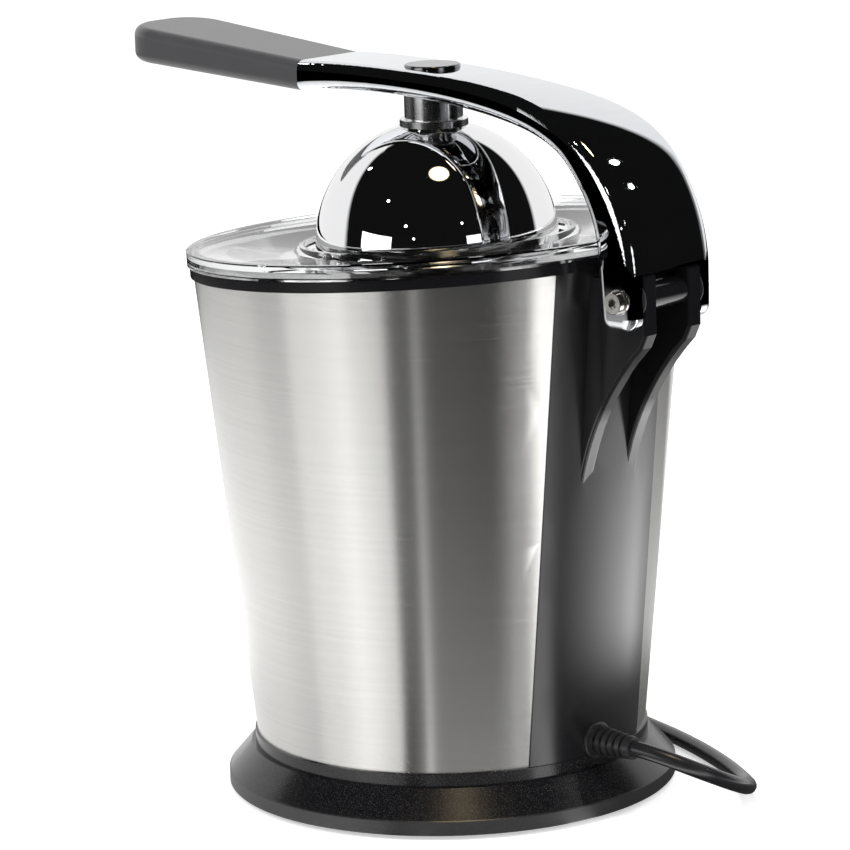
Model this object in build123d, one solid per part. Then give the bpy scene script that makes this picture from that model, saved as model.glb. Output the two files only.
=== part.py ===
"""Electric citrus juicer with a hinged press arm: a conical body on a flared foot, a juice bowl under a clear
cover, a ribbed reamer driven through two gear stages, and a pressing dome carried by a lever arm.
Millimetres. +Z is up, +Y is the rear (hinge and cord), -Y the front (glass niche), origin on the table
under the reamer's axis."""

from build123d import *
import math
import os

os.makedirs("parts", exist_ok=True)

# Overall form
foot_radius = 100.0
body_foot_radius = 86.8
body_rim_radius = 107.6
body_foot_z = 25.8
rim_z = 236.6
rim_slope = 3.8
overrun = 20.0
touch = 0.05
gap = 0.3

# Base
feet_height = 2.0
feet_radius = 8.0
feet_ring = 80.0
base_edge_height = 6.2
base_edge_inset = 0.5
flare_radius = 89.5
flare_top_z = 20.2
collar_radius = 87.8
base_wall = 3.0
base_plate_thickness = 2.0
post_radius = 5.0
screw_shank_radius = 1.5
screw_head_radius = 3.2
screw_head_height = 1.2
screw_depth = 9.0
feet_angles = (45.0, 135.0, 225.0, 315.0)
screw_angles = (0.0, 90.0, 180.0, 270.0)

# Steel wrap and rear panel
wrap_thickness = 0.8
panel_half_width = 34.5
panel_proud = 0.6
panel_thickness = 3.0
seam = 0.15

# Glass niche in the front
niche_half_width = 48.0
niche_top_z = 159.5
niche_corner = 30.0
niche_back_y = -16.0
niche_wall = 2.4
niche_lip = 0.8

# Hinge and its two fins on the rear panel
hinge_y = 130.0
hinge_z = 233.5
fin_inner_x = 10.0
fin_thickness = 7.8
fin_reach = 7.0
fin_top_radius = 11.2
fin_root_y = 111.0
fin_root_z = 240.5
fin_corner_drop = 21.0
fin_corner_round = 6.0
fin_waist_y = 112.6
fin_waist_z = 185.5
fin_foot_z = 142.0
fin_edge = 1.5
axle_radius = 4.0
axle_hole_radius = 2.0
running_gap = 0.05
bush_radius = 6.0
bush_flange = 0.4
bush_flange_radius = 7.8
sleeve_radius = 6.2
washer_thickness = 1.0
washer_radius = 5.4
bolt_head_radius = 4.6
bolt_head_height = 3.4
bolt_shank_depth = 11.0
bolt_socket_radius = 2.3
bolt_socket_depth = 2.2

# Top ring, bowl, strainer and clear cover
ring_overhang = 1.6
ring_radius = body_rim_radius + ring_overhang
ring_height = 4.9
ring_band = 9.4
ring_inner_radius = ring_radius - ring_band
ring_skirt_depth = 7.0
ring_skirt_thickness = 1.8
ring_skirt_gap = 2.1
bowl_inset = 1.8
bowl_rim_radius = ring_inner_radius - bowl_inset
bowl_taper = 14.0
bowl_foot_radius = bowl_rim_radius - bowl_taper
bowl_floor_z = 203.0
bowl_top_z = 254.0
bowl_wall = 1.0
flange_inset = 1.8
flange_radius = ring_radius - flange_inset
flange_thickness = 1.0
tower_radius = 9.2
tower_bore = 8.0
tower_top_z = 231.0
spout_y = -62.0
spout_radius = 9.0
spout_bore = 7.4
spout_end_z = 155.0
cover_overhang = 2.8
cover_radius = flange_radius + cover_overhang
cover_height = 6.6
cover_wall = 2.2
cover_web_drop = 4.6
cover_opening = 58.8
cover_lip_height = 2.4
strainer_margin = 14.0
strainer_radius = bowl_foot_radius - strainer_margin
strainer_rise = 12.0
strainer_hub_z = 222.0
strainer_wall = 0.9
strainer_tube = 1.3
strainer_slots = 24
slot_width = 2.4
slot_inner = 24.0
slot_outer = 60.0

# Reamer, shaft, spring and switch
reamer_radius = 36.0
reamer_base_z = 236.0
reamer_height = 46.0
reamer_wall = 2.6
reamer_hub_radius = 7.0
reamer_rim = 2.6
reamer_rim_height = 3.0
reamer_shares = (
    (1.0, 0.0), (0.985, 0.13), (0.93, 0.34), (0.83, 0.55), (0.68, 0.73), (0.48, 0.87), (0.26, 0.965), (0.08, 1.0),
)
rib_count = 10
rib_start = 4.8
rib_thickness = 2.4
rib_proud = 2.6
shaft_radius = 4.0
shaft_flat = 3.2
shaft_foot_z = 152.0
shaft_top_z = 264.0
shaft_collar_radius = 6.4
shaft_collar_height = 2.0
press_travel = 3.0
spring_wire = 1.0
spring_radius = 5.4
spring_turns = 5
spring_dead_turns = 1
spring_length = 16.0
sleeve_wall = 2.4
sleeve_proud = 1.5
seal_height = 5.0
switch_length = 20.0
switch_width = 6.4
switch_height = 10.0
switch_top_z = 147.0
plunger_radius = 1.5
plunger_well = 7.0
bracket_thickness = 2.0

# Gear train
pressure_angle = 25.0
addendum_share = 0.85
dedendum_share = 1.15
backlash = 0.12
slow_module = 1.5
slow_gear_teeth = 52
slow_pinion_teeth = 14
fast_module = 1.25
fast_gear_teeth = 48
fast_pinion_teeth = 12
motor_y = 42.0
slow_gear_z = 178.5
slow_gear_width = 8.0
fast_gear_z = 167.0
fast_gear_width = 7.0
gear_hub_radius = 9.0
web_thickness = 3.0
rim_share = 0.84
web_hole_share = 0.18
web_ring_share = 0.52
web_holes = 6
idler_axle_radius = 3.0

# Gearbox
pan_floor_z = 160.0
pan_floor = 3.0
pan_wall = 2.4
pan_clearance = 2.5
lid_z = 188.0
lid_thickness = 3.0
lug_radius = 8.0
lug_places = ((-48.0, -6.0), (-46.0, 48.0), (70.0, 14.0), (24.0, 74.0))
bush_wall = 2.5
frame_plate = 3.0
frame_opening = 24.0
gearbox_screw_length = 20.0

# Motor
can_radius = 33.0
can_wall = 1.5
can_foot_z = 98.0
stator_bore = 20.4
stator_height = 40.0
stator_slots = 6
stator_slot_width = 7.0
stator_slot_depth = 6.0
stator_foot_z = 108.0
rotor_radius = 19.9
rotor_shaft_radius = 3.0
rotor_foot_z = 83.0
fan_radius = 26.0
fan_height = 8.0
fan_hub_radius = 7.0
fan_blades = 8
fan_blade_thickness = 1.6
fan_disc = 1.4

# Arm, seen from the side: shares of its reach from the hinge and of its rise over the table
arm_seam_y = -64.0
arm_reach = 194.0
arm_rise = 320.6
arm_top_shares = (
    (0.0, 0.9984), (0.17, 1.0), (0.33, 0.9975), (0.48, 0.9925), (0.62, 0.983), (0.75, 0.967), (0.85, 0.944), (0.925, 0.912),
    (0.98, 0.868), (1.015, 0.82), (1.0325, 0.7626),
)
arm_under_shares = (
    (0.0, 0.9555), (0.17, 0.9628), (0.33, 0.9615), (0.5, 0.9535), (0.65, 0.941), (0.755, 0.927), (0.83, 0.905), (0.875, 0.875),
    (0.91, 0.838), (0.93, 0.783),
)
arm_seam_half = 20.4
arm_waist_half = 19.0
arm_waist_y = 0.0
arm_swell_y = 62.0
arm_swell_half = 20.2
arm_hip_half = 26.2
arm_hip_y = 112.0
arm_edge = 4.4
leg_thickness = 7.7
leg_bottom_drop = 12.9
leg_front_lean = 1.8
leg_round = 5.5
arm_rear_wall = 2.5
rear_wall_lift = 11.0
hinge_well_radius = 14.0
tongue_length = 70.0
tongue_width = 24.0
tongue_thickness = 6.5
tongue_margin = 2.0

# Grip
grip_length = 114.0
grip_end_half = 24.0
grip_end_round = 19.0
grip_seam_thickness = 13.8
grip_end_thickness = 16.4
grip_tilt = 4.2
grip_edge = 4.4
grip_seam_top_drop = 0.6

# Pressing dome and its collar
dome_radius = 53.4
dome_z = 243.0
dome_wall = 1.2
dome_skirt = 5.0
dome_lip = 0.9
collar_socket_radius = 12.8
collar_nut_radius = 15.0
collar_nut_top_z = 297.4
collar_nut_drop = 5.0
dome_screw_radius = 4.0
dome_screw_head_radius = 8.0
dome_screw_head_height = 3.4
cap_radius = 12.2
cap_height = 1.6
cap_sink = 1.2
cap_crown = 1.2

# Drip stop under the juice spout
nose_pivot_y = -52.0
nose_pivot_z = 147.0
nose_front = 27.0
nose_back = 6.0
nose_half_width = 10.0
nose_wall = 1.6
nose_floor_drop = 4.5
nose_side_rise = 3.5
nose_tilt = 20.0
nose_pin_radius = 1.6
cheek_gap = 0.4
cheek_thickness = 2.2
cheek_half_depth = 6.0
cheek_drop = 4.5
bracket_ring_radius = 14.5
bracket_ring_height = 3.0

# Cord, its boot, its coil and its plug
cord_radius = 3.5
cord_z = 32.0
boot_foot_y = 86.4
boot_flange_radius = 8.2
boot_flange_length = 2.6
boot_neck_radius = 5.6
boot_root_radius = 6.8
boot_tip_radius = 4.9
boot_length = 21.0
boot_rings = 5
boot_groove = 1.1
boot_groove_share = 0.42
boot_lock_radius = 6.2
boot_lock_y = 81.6
boot_lock_length = 2.6
clamp_y = 70.0
clamp_length = 8.0
clamp_width = 16.0
clamp_top_z = 38.0
cord_route = (
    (0.0, 70.0, 32.0), (0.0, 118.0, 32.0), (-8.0, 136.0, 26.0), (-26.0, 143.0, 16.5), (-46.0, 136.0, 8.5),
    (-63.0, 119.0, 4.0), (-77.0, 97.0, 3.5), (-89.0, 72.0, 3.5), (-99.0, 46.0, 3.5), (-107.0, 18.0, 3.5),
    (-117.0, -10.0, 3.5), (-135.0, -39.0, 3.5),
)
bend_share = 0.45
coil_x = -114.0
coil_y = -112.0
coil_z = 4.4
coil_inner_radius = 29.1
coil_pitch = 7.6
coil_layer = 7.6
coil_turns_in = 2.25
coil_turns_out = 1.625
coil_start_angle = 180.0
coil_end_run = 7.0
lead_run = 30.0
tail_over_run = 32.0
tail_down_run = 30.0
tail_flat_run = 22.0
tie_angle = 250.0
tie_thickness = 1.2
tie_floor = 0.8
tie_width = 9.0
tie_inside = 25.5
tie_outside = 49.0
plug_z = 7.6
plug_neck_length = 16.0
plug_neck_radius = 5.6
plug_length = 34.0
plug_half_width = 13.0
plug_thickness = 15.0
plug_round = 4.0
plug_pin_radius = 2.0
plug_pin_length = 19.0
plug_pin_spacing = 19.0
plug_pin_seat = 4.0

# Places that follow from the sizes above
FLOOR = (Align.CENTER, Align.CENTER, Align.MIN)
body_slope = (body_rim_radius - body_foot_radius) / (rim_z - body_foot_z)
slope = math.tan(math.radians(rim_slope))
rim_shift = body_slope * body_rim_radius * slope
rim_plane = Plane(
    origin=(0, rim_shift, rim_z),
    x_dir=(1, 0, 0),
    z_dir=(0, -math.sin(math.radians(rim_slope)), math.cos(math.radians(rim_slope))),
)
cord_exit_y = boot_foot_y + boot_flange_length + boot_length
sleeve_bore = shaft_radius + running_gap
gear_sleeve_radius = shaft_radius + sleeve_wall
sleeve_top_z = bowl_floor_z + seal_height + sleeve_proud
shaft_collar_z = sleeve_top_z + spring_length
fin_outer_x = fin_inner_x + fin_thickness
leg_inner_x = arm_hip_half - leg_thickness
arm_rear_y = arm_seam_y + arm_reach * arm_top_shares[-1][0]
cap_seat_z = arm_rise * arm_top_shares[2][1] - cap_sink
slow_gear_radius = slow_module * slow_gear_teeth / 2
slow_pinion_radius = slow_module * slow_pinion_teeth / 2
fast_gear_radius = fast_module * fast_gear_teeth / 2
fast_pinion_radius = fast_module * fast_pinion_teeth / 2
slow_centres = slow_gear_radius + slow_pinion_radius
fast_centres = fast_gear_radius + fast_pinion_radius
idler_y = (slow_centres**2 - fast_centres**2 + motor_y**2) / (2 * motor_y)
idler_x = math.sqrt(slow_centres**2 - idler_y**2)
slow_line = math.degrees(math.atan2(idler_y, idler_x))
fast_line = math.degrees(math.atan2(motor_y - idler_y, -idler_x))


def save(node, shape):
    """Writes one sub-part to its own file."""
    export_step(shape, f"parts/{node}.step")
    print(node, "volume", round(shape.volume, 1))
    return shape


def body_radius(z):
    """Outer radius of the conical body at a height."""
    return body_foot_radius + body_slope * (z - body_foot_z)


def bar(radius, z0, z1, x=0, y=0):
    """Upright round bar between two heights."""
    return Pos(x, y, z0) * Cylinder(radius, z1 - z0, align=FLOOR)


def pipe(outer, inner, z0, z1, x=0, y=0):
    """Upright tube between two heights."""
    return bar(outer, z0, z1, x, y) - bar(inner, z0 - overrun, z1 + overrun, x, y)


def cross_bar(radius, x0, x1, y, z):
    """Round bar along X."""
    return Pos(x0, y, z) * Rot(0, 90, 0) * Cylinder(radius, x1 - x0, align=FLOOR)


def along_y(radius, y0, y1, z, x=0):
    """Round bar along Y."""
    return Pos(x, y0, z) * Rot(-90, 0, 0) * Cylinder(radius, y1 - y0, align=FLOOR)


def block(x0, x1, y0, y1, z0, z1):
    """Box between two corners."""
    return Pos((x0 + x1) / 2, (y0 + y1) / 2, (z0 + z1) / 2) * Box(x1 - x0, y1 - y0, z1 - z0)


def turned(outline):
    """Solid of revolution about Z from a closed outline of (radius, height)."""
    return revolve(Plane.XZ * make_face(Polyline(*outline, close=True)), Axis.Z)


def side_plate(outline_wire, x0, x1):
    """Plate across X whose outline lies in the YZ plane."""
    face = Plane(origin=(x0, 0, 0), x_dir=(0, 1, 0), z_dir=(1, 0, 0)) * make_face(outline_wire)
    return extrude(face, amount=x1 - x0, dir=(1, 0, 0))


def cone_solid(offset, z0, z1):
    """Solid cone that follows the body's side, set out or in by an offset."""
    low, high = body_radius(z0) + offset, body_radius(z1) + offset
    return turned([(0, z0), (low, z0), (high, z1), (0, z1)])


def below_rim(lift=0):
    """Everything under the sloped rim plane."""
    reach = foot_radius * 3
    slab = Box(reach, reach, reach, align=(Align.CENTER, Align.CENTER, Align.MAX))
    return rim_plane.location * Pos(0, 0, lift) * slab


def arch(half_width, top_z, corner, y0, y1):
    """Tunnel along Y with a flat top and rounded upper corners, open at its foot."""
    outline = Polyline(
        (-half_width, top_z - corner), (-half_width, body_foot_z), (half_width, body_foot_z), (half_width, top_z - corner)
    )
    right = RadiusArc((half_width, top_z - corner), (half_width - corner, top_z), -corner)
    top = Line((half_width - corner, top_z), (corner - half_width, top_z))
    left = RadiusArc((corner - half_width, top_z), (-half_width, top_z - corner), -corner)
    face = Plane(origin=(0, y1, 0), x_dir=(1, 0, 0), z_dir=(0, -1, 0)) * make_face(outline + right + top + left)
    return extrude(face, amount=y1 - y0, dir=(0, -1, 0))


def involute_gear(module, teeth, width, turn):
    """Spur gear blank with involute flanks, one tooth centred on the angle turn."""
    pitch = module * teeth / 2
    base = pitch * math.cos(math.radians(pressure_angle))
    tip, root = pitch + addendum_share * module, pitch - dedendum_share * module
    start = max(base, root + touch)
    half_pitch = (math.pi * module / 2 - backlash) / (2 * pitch)
    roll = math.tan(math.radians(pressure_angle)) - math.radians(pressure_angle)

    def half_angle(radius):
        lean = math.acos(min(base / radius, 1))
        return half_pitch + roll - (math.tan(lean) - lean)

    flank = [(r, half_angle(r)) for r in (start, (start + pitch) / 2, pitch, (pitch + tip) / 2, tip)]
    points = []
    for tooth in range(teeth):
        centre = math.radians(turn) + tooth * math.tau / teeth
        side = [(root, -half_angle(start))] + [(r, -a) for r, a in flank]
        side += [(r, a) for r, a in reversed(flank)] + [(root, half_angle(start))]
        points += [(r * math.cos(centre + a), r * math.sin(centre + a)) for r, a in side]
    return extrude(make_face(Polyline(*points, close=True)), amount=width)


def lightened(gear, radius, hub, width):
    """Thins the web of a gear on both sides and cuts its round holes."""
    depth = (width - web_thickness) / 2
    groove = Cylinder(radius * rim_share, depth, align=FLOOR) - Cylinder(hub, depth, align=FLOOR)
    gear = gear - groove - Pos(0, 0, width - depth) * groove
    hole = Cylinder(radius * web_hole_share, width, align=FLOOR)
    return gear - [loc * hole for loc in PolarLocations(radius * web_ring_share, web_holes)]


def fins():
    """The two hinge ears that sweep out of the rear panel."""
    rear = hinge_y + fin_reach
    shoulder = hinge_z + math.sqrt(fin_top_radius**2 - fin_reach**2)
    corner = hinge_z - fin_corner_drop
    foot_y = math.sqrt(body_radius(fin_foot_z) ** 2 - fin_outer_x**2)
    inside = foot_y - panel_thickness
    outline = (
        Line((inside, fin_foot_z), (foot_y, fin_foot_z))
        + ThreePointArc((foot_y, fin_foot_z), (fin_waist_y, fin_waist_z), (rear - fin_corner_round / 2, corner))
        + Line((rear - fin_corner_round / 2, corner), (rear, corner + fin_corner_round))
        + Line((rear, corner + fin_corner_round), (rear, shoulder))
        + ThreePointArc(
            (rear, shoulder),
            (hinge_y + fin_top_radius * math.sin(math.radians(20)), hinge_z + fin_top_radius * math.cos(math.radians(20))),
            (hinge_y, hinge_z + fin_top_radius),
        )
        + Line((hinge_y, hinge_z + fin_top_radius), (fin_root_y, fin_root_z))
        + Line((fin_root_y, fin_root_z), (inside, fin_root_z))
        + Line((inside, fin_root_z), (inside, fin_foot_z))
    )
    pair = []
    for x0 in (fin_inner_x, -fin_outer_x):
        fin = side_plate(outline, x0, x0 + fin_thickness)
        rim = fin.edges().filter_by(lambda e: e.center().Y > foot_y + fin_thickness and e.center().Z < hinge_z)
        fin = fillet(rim.filter_by(Axis.X, reverse=True), fin_edge)
        fin -= cross_bar(bush_radius, x0 - overrun, x0 + fin_thickness + overrun, hinge_y, hinge_z)
        pair.append(fin)
    return pair


def base():
    """Flared foot moulding, its bottom plate, rubber feet and screws."""
    edge_top = feet_height + base_edge_height
    lip = foot_radius - base_edge_inset
    outer = [
        (0, feet_height), (lip, feet_height), (foot_radius, feet_height + base_edge_inset), (foot_radius, edge_top),
        (lip, edge_top + base_edge_inset), (flare_radius, flare_top_z), (collar_radius, flare_top_z),
        (collar_radius, body_foot_z), (0, body_foot_z),
    ]
    plate_top = feet_height + base_plate_thickness
    hollow = turned([
        (0, feet_height - overrun), (lip - base_wall, feet_height - overrun), (lip - base_wall, edge_top),
        (flare_radius - 2 * base_wall, flare_top_z - base_wall / 2), (flare_radius - 2 * base_wall, body_foot_z - base_wall),
        (0, body_foot_z - base_wall),
    ])
    shell = turned(outer) - hollow
    screw_ring = feet_ring
    posts = [loc * Pos(0, 0, 0) for loc in PolarLocations(screw_ring, len(screw_angles), start_angle=screw_angles[0])]
    for loc in posts:
        shell += loc * Pos(0, 0, plate_top) * Cylinder(post_radius, body_foot_z - plate_top - base_wall / 2, align=FLOOR)
    bore_top = plate_top + screw_depth
    bore = Cylinder(screw_shank_radius, bore_top - feet_height, align=FLOOR)
    for loc in posts:
        shell -= loc * Pos(0, 0, feet_height) * bore
    shell -= along_y(boot_flange_radius, boot_foot_y, boot_foot_y + boot_flange_length, cord_z)
    plate = bar(lip - base_wall - gap, feet_height, plate_top)
    for loc in posts:
        plate -= loc * Pos(0, 0, feet_height - touch) * Cylinder(screw_shank_radius, base_plate_thickness * 2, align=FLOOR)
    foot = Cylinder(feet_radius, feet_height, align=FLOOR)
    foot = chamfer(foot.edges().group_by(Axis.Z)[0], feet_height / 4)
    feet = [loc * foot for loc in PolarLocations(feet_ring, len(feet_angles), start_angle=feet_angles[0])]
    screw = Pos(0, 0, feet_height - screw_head_height) * Cylinder(screw_head_radius, screw_head_height, align=FLOOR)
    screw += Pos(0, 0, feet_height) * bore
    screws = [loc * screw for loc in posts]
    save("base_cover", shell)
    save("base_plate", plate)
    save("rubber_feet", Compound(children=feet))
    save("base_screws", Compound(children=screws))


def shells():
    """Steel wrap, rear panel with its hinge ears, and the liner of the glass niche."""
    top = rim_z + overrun
    wrap = cone_solid(0, body_foot_z, top) - cone_solid(-wrap_thickness, body_foot_z - overrun, top + overrun)
    wrap &= below_rim()
    wrap -= block(-panel_half_width - seam, panel_half_width + seam, 0, 2 * foot_radius, 0, 2 * rim_z)
    wrap -= arch(niche_half_width, niche_top_z, niche_corner, -2 * foot_radius, niche_back_y)
    save("steel_wrap", wrap)

    inner = panel_proud - panel_thickness
    panel = cone_solid(panel_proud, body_foot_z, top) - cone_solid(inner, body_foot_z - overrun, top + overrun)
    panel &= block(-panel_half_width, panel_half_width, 0, 2 * foot_radius, body_foot_z, 2 * rim_z)
    panel &= below_rim()
    for fin in fins():
        panel += fin - cone_solid(0, fin_foot_z - overrun, top)
    hole = along_y(boot_neck_radius, boot_foot_y - overrun, boot_foot_y + overrun, cord_z)
    seat = along_y(boot_flange_radius, boot_foot_y, boot_foot_y + overrun, cord_z)
    save("rear_panel", panel - hole - seat)

    outer = arch(niche_half_width - seam, niche_top_z - seam, niche_corner - seam, -2 * foot_radius, niche_back_y)
    width = niche_half_width - niche_wall
    room = arch(width, niche_top_z - niche_wall, niche_corner - niche_wall, -3 * foot_radius, niche_back_y - niche_wall)
    liner = (outer - room) & cone_solid(niche_lip, body_foot_z, top)
    liner -= bar(spout_radius + gap, niche_top_z - overrun, niche_top_z + overrun, 0, spout_y)
    save("niche_liner", liner)


def top_end():
    """Top ring, juice bowl, its spout, the strainer and the clear cover."""
    skirt = body_rim_radius - wrap_thickness - ring_skirt_gap
    inner = skirt - ring_skirt_thickness
    outline = [
        (ring_inner_radius, 0), (inner, 0), (inner, -ring_skirt_depth), (skirt - body_slope * ring_skirt_depth, -ring_skirt_depth),
        (skirt, 0), (ring_radius, 0), (ring_radius, ring_height), (ring_inner_radius, ring_height),
    ]
    save("top_ring", rim_plane.location * turned(outline))

    bowl_slope = (bowl_rim_radius - bowl_foot_radius) / (bowl_top_z - bowl_floor_z)
    side = turned([(0, bowl_floor_z), (bowl_foot_radius, bowl_floor_z), (bowl_rim_radius, bowl_top_z), (0, bowl_top_z)])
    inside = turned([
        (0, bowl_floor_z + bowl_wall), (bowl_foot_radius - bowl_wall + bowl_slope * bowl_wall, bowl_floor_z + bowl_wall),
        (bowl_rim_radius - bowl_wall + bowl_slope * overrun, bowl_top_z + overrun), (0, bowl_top_z + overrun),
    ])
    flange = rim_plane.location * pipe(flange_radius, bowl_foot_radius, ring_height, ring_height + flange_thickness)
    bowl = (side & below_rim(ring_height + flange_thickness)) + flange - inside
    bowl += bar(tower_radius, bowl_floor_z, tower_top_z)
    bowl -= bar(tower_bore, bowl_floor_z - overrun, tower_top_z + overrun)
    bowl -= bar(spout_bore, bowl_floor_z - overrun, bowl_floor_z + overrun, 0, spout_y)
    save("juice_bowl", bowl)

    save("juice_spout", pipe(spout_radius, spout_bore, spout_end_z, bowl_floor_z, 0, spout_y))

    tube = tower_radius + gap / 2
    hub = tube + strainer_tube
    dish = turned([
        (tube, bowl_floor_z + bowl_wall), (hub, bowl_floor_z + bowl_wall), (hub, strainer_hub_z - strainer_wall),
        (strainer_radius, strainer_hub_z + strainer_rise - strainer_wall), (strainer_radius, strainer_hub_z + strainer_rise),
        (hub, strainer_hub_z), (hub, tower_top_z), (tube, tower_top_z),
    ])
    slot = Pos((slot_inner + slot_outer) / 2, 0, strainer_hub_z) * Box(slot_outer - slot_inner, slot_width, 2 * overrun)
    dish -= [Rot(0, 0, step * 360 / strainer_slots) * slot for step in range(strainer_slots)]
    save("strainer", dish)

    top = ring_height + cover_height
    seat = ring_height + flange_thickness
    shelf = flange_radius - cover_wall
    web = top - cover_web_drop
    cover = turned([
        (flange_radius + gap, ring_height), (cover_radius, ring_height), (cover_radius, top - cover_wall / 4),
        (cover_radius - cover_wall / 4, top), (flange_radius - cover_wall / 2, top), (cover_opening + 2 * cover_wall, web),
        (cover_opening + cover_wall, web + cover_lip_height), (cover_opening, web + cover_lip_height),
        (cover_opening, web - cover_wall), (cover_opening + 2 * cover_wall, web - cover_wall), (shelf, seat + cover_wall),
        (shelf, seat), (flange_radius + gap, seat),
    ])
    save("splash_cover", rim_plane.location * cover)


def press_head():
    """Reamer, drive shaft, return spring, shaft seal and the start switch under the shaft."""
    base_z, apex = reamer_base_z, reamer_base_z + reamer_height

    def ogive(grow, z_low):
        outline = [((reamer_radius + grow) * r, base_z + (reamer_height + grow) * z) for r, z in reamer_shares]
        return Polyline((0, z_low), (outline[0][0], z_low), *outline[1:], (0, outline[-1][1]), close=True)

    shell = revolve(Plane.XZ * make_face(ogive(0, base_z)), Axis.Z)
    shell += bar(reamer_radius + reamer_rim, base_z, base_z + reamer_rim_height)
    rib = extrude(Plane.XZ * make_face(ogive(rib_proud, base_z)), amount=rib_thickness / 2, both=True)
    rib &= block(rib_start, 2 * reamer_radius, -overrun, overrun, base_z, 2 * apex)
    for step in range(rib_count):
        shell += Rot(0, 0, step * 360 / rib_count) * rib
    shell += bar(rib_start + gap, apex - rib_start, apex + rib_proud / 2)
    shell -= revolve(Plane.XZ * make_face(ogive(-reamer_wall, base_z - reamer_wall)), Axis.Z)
    shell += bar(reamer_hub_radius, tower_top_z + press_travel + reamer_rim_height, apex - reamer_wall)
    flat = block(shaft_flat, 2 * shaft_radius, -shaft_radius, shaft_radius, 0, 2 * apex)
    shaft_bar = bar(shaft_radius, shaft_foot_z, shaft_top_z) - flat
    shell -= bar(shaft_radius, base_z - overrun, shaft_top_z) - flat
    save("reamer_cone", shell)

    collar = bar(shaft_collar_radius, shaft_collar_z, shaft_collar_z + shaft_collar_height)
    save("drive_shaft", shaft_bar + collar)
    bore = gear_sleeve_radius + running_gap
    save("shaft_seal", pipe(tower_bore, bore, bowl_floor_z, bowl_floor_z + seal_height))


def start_switch():
    """Micro switch that the pressed shaft closes, its plunger and its bracket."""
    x, y = switch_length / 2, switch_width / 2
    well = bar(plunger_radius + running_gap, switch_top_z - plunger_well, switch_top_z + overrun)
    body = block(-x, x, -y, y, switch_top_z - switch_height, switch_top_z) - well
    save("start_switch", body)
    save("switch_plunger", bar(plunger_radius, switch_top_z - plunger_well + press_travel + gap, shaft_foot_z - gap))
    save("switch_bracket", block(x, x + bracket_thickness, -y, y, switch_top_z - switch_height, pan_floor_z))


def quarter_curve(place, lengthwise, start, end, step=90):
    """Smooth curve through a winding: pairs of tangent arcs over steps of a quarter turn."""
    count = max(1, round((end - start) / step))
    angles = [start + (end - start) * share / count for share in range(count + 1)]
    spots = [Vector(*place(angle)) for angle in angles]
    heads = [Vector(*lengthwise(angle)).normalized() for angle in angles]
    arcs = []
    for spot, head, goal, goal_head in zip(spots, heads, spots[1:], heads[1:]):
        span = goal - spot
        sum_heads = head + goal_head
        square = 2 * (1 - head.dot(goal_head))
        lean = span.dot(sum_heads)
        reach = (math.sqrt(lean**2 + square * span.dot(span)) - lean) / square
        joint = (spot + goal + (head - goal_head) * reach) * 0.5
        arcs.append(Edge.make_tangent_arc(spot, head, joint))
        arcs.append(Edge.make_tangent_arc(goal, goal_head * -1, joint))
    return arcs


def spring_turn(angle):
    """Height share of the spring's wire at an angle, with a flat dead turn at each end."""
    active = 360 * (spring_turns - 2 * spring_dead_turns)
    dead = 360 * spring_dead_turns
    wire = spring_wire * 1.15
    climb = spring_length - spring_wire - 2 * wire
    if angle < dead:
        return wire * angle / dead
    if angle < dead + active:
        return wire + climb * (angle - dead) / active
    return wire + climb + wire * (angle - dead - active) / dead


def return_spring():
    """Compression spring on the gear's sleeve that lifts the shaft by its collar."""
    low = sleeve_top_z + spring_wire / 2

    def place(angle):
        turn = math.radians(angle)
        return spring_radius * math.cos(turn), spring_radius * math.sin(turn), low + spring_turn(angle)

    def lengthwise(angle):
        ahead, behind = place(angle + 1), place(angle - 1)
        return [a - b for a, b in zip(ahead, behind)]

    arcs = quarter_curve(place, lengthwise, 0, 360 * spring_turns)
    path = Wire(arcs)
    section = Plane(origin=place(0), z_dir=arcs[0].tangent_at(0)) * Circle(spring_wire / 2)
    save("return_spring", sweep(section, path=path, transition=Transition.ROUND))


def gear_train():
    """Slow gear, double idler gear and motor pinion, in mesh at rest."""
    slow = lightened(
        involute_gear(slow_module, slow_gear_teeth, slow_gear_width, slow_line), slow_gear_radius, gear_hub_radius,
        slow_gear_width,
    )
    slow = Pos(0, 0, slow_gear_z) * slow
    slow += bar(gear_hub_radius, pan_floor_z + pan_floor + bush_wall + gap, lid_z - gap)
    slow += bar(gear_sleeve_radius, lid_z - gap, sleeve_top_z)
    bore = sleeve_bore
    slow -= bar(bore, 0, 2 * rim_z) - block(
        shaft_flat + running_gap, 2 * shaft_radius, -2 * shaft_radius, 2 * shaft_radius, 0, 2 * rim_z
    )
    save("output_gear", slow)

    pinion_turn = slow_line + 180 + 180 / slow_pinion_teeth
    wheel = involute_gear(fast_module, fast_gear_teeth, fast_gear_width, fast_line)
    wheel = lightened(wheel, fast_gear_radius, slow_pinion_radius + slow_module, fast_gear_width)
    pinion = involute_gear(slow_module, slow_pinion_teeth, lid_z - gap - fast_gear_z - fast_gear_width, pinion_turn)
    idler = Pos(0, 0, fast_gear_z) * wheel + Pos(0, 0, fast_gear_z + fast_gear_width) * pinion
    idler += bar(slow_pinion_radius, pan_floor_z + pan_floor + gap, fast_gear_z + touch)
    idler -= bar(idler_axle_radius + running_gap, 0, 2 * rim_z)
    save("idler_gear", Pos(idler_x, idler_y, 0) * idler)
    save("idler_axle", bar(idler_axle_radius, pan_floor_z, lid_z + lid_thickness, idler_x, idler_y))

    motor_turn = fast_line + 180 + 180 / fast_pinion_teeth
    pinion = involute_gear(fast_module, fast_pinion_teeth, fast_gear_width + 2 * gap, motor_turn)
    pinion -= bar(rotor_shaft_radius, -overrun, overrun)
    save("motor_pinion", Pos(0, motor_y, fast_gear_z - gap) * pinion)


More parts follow.
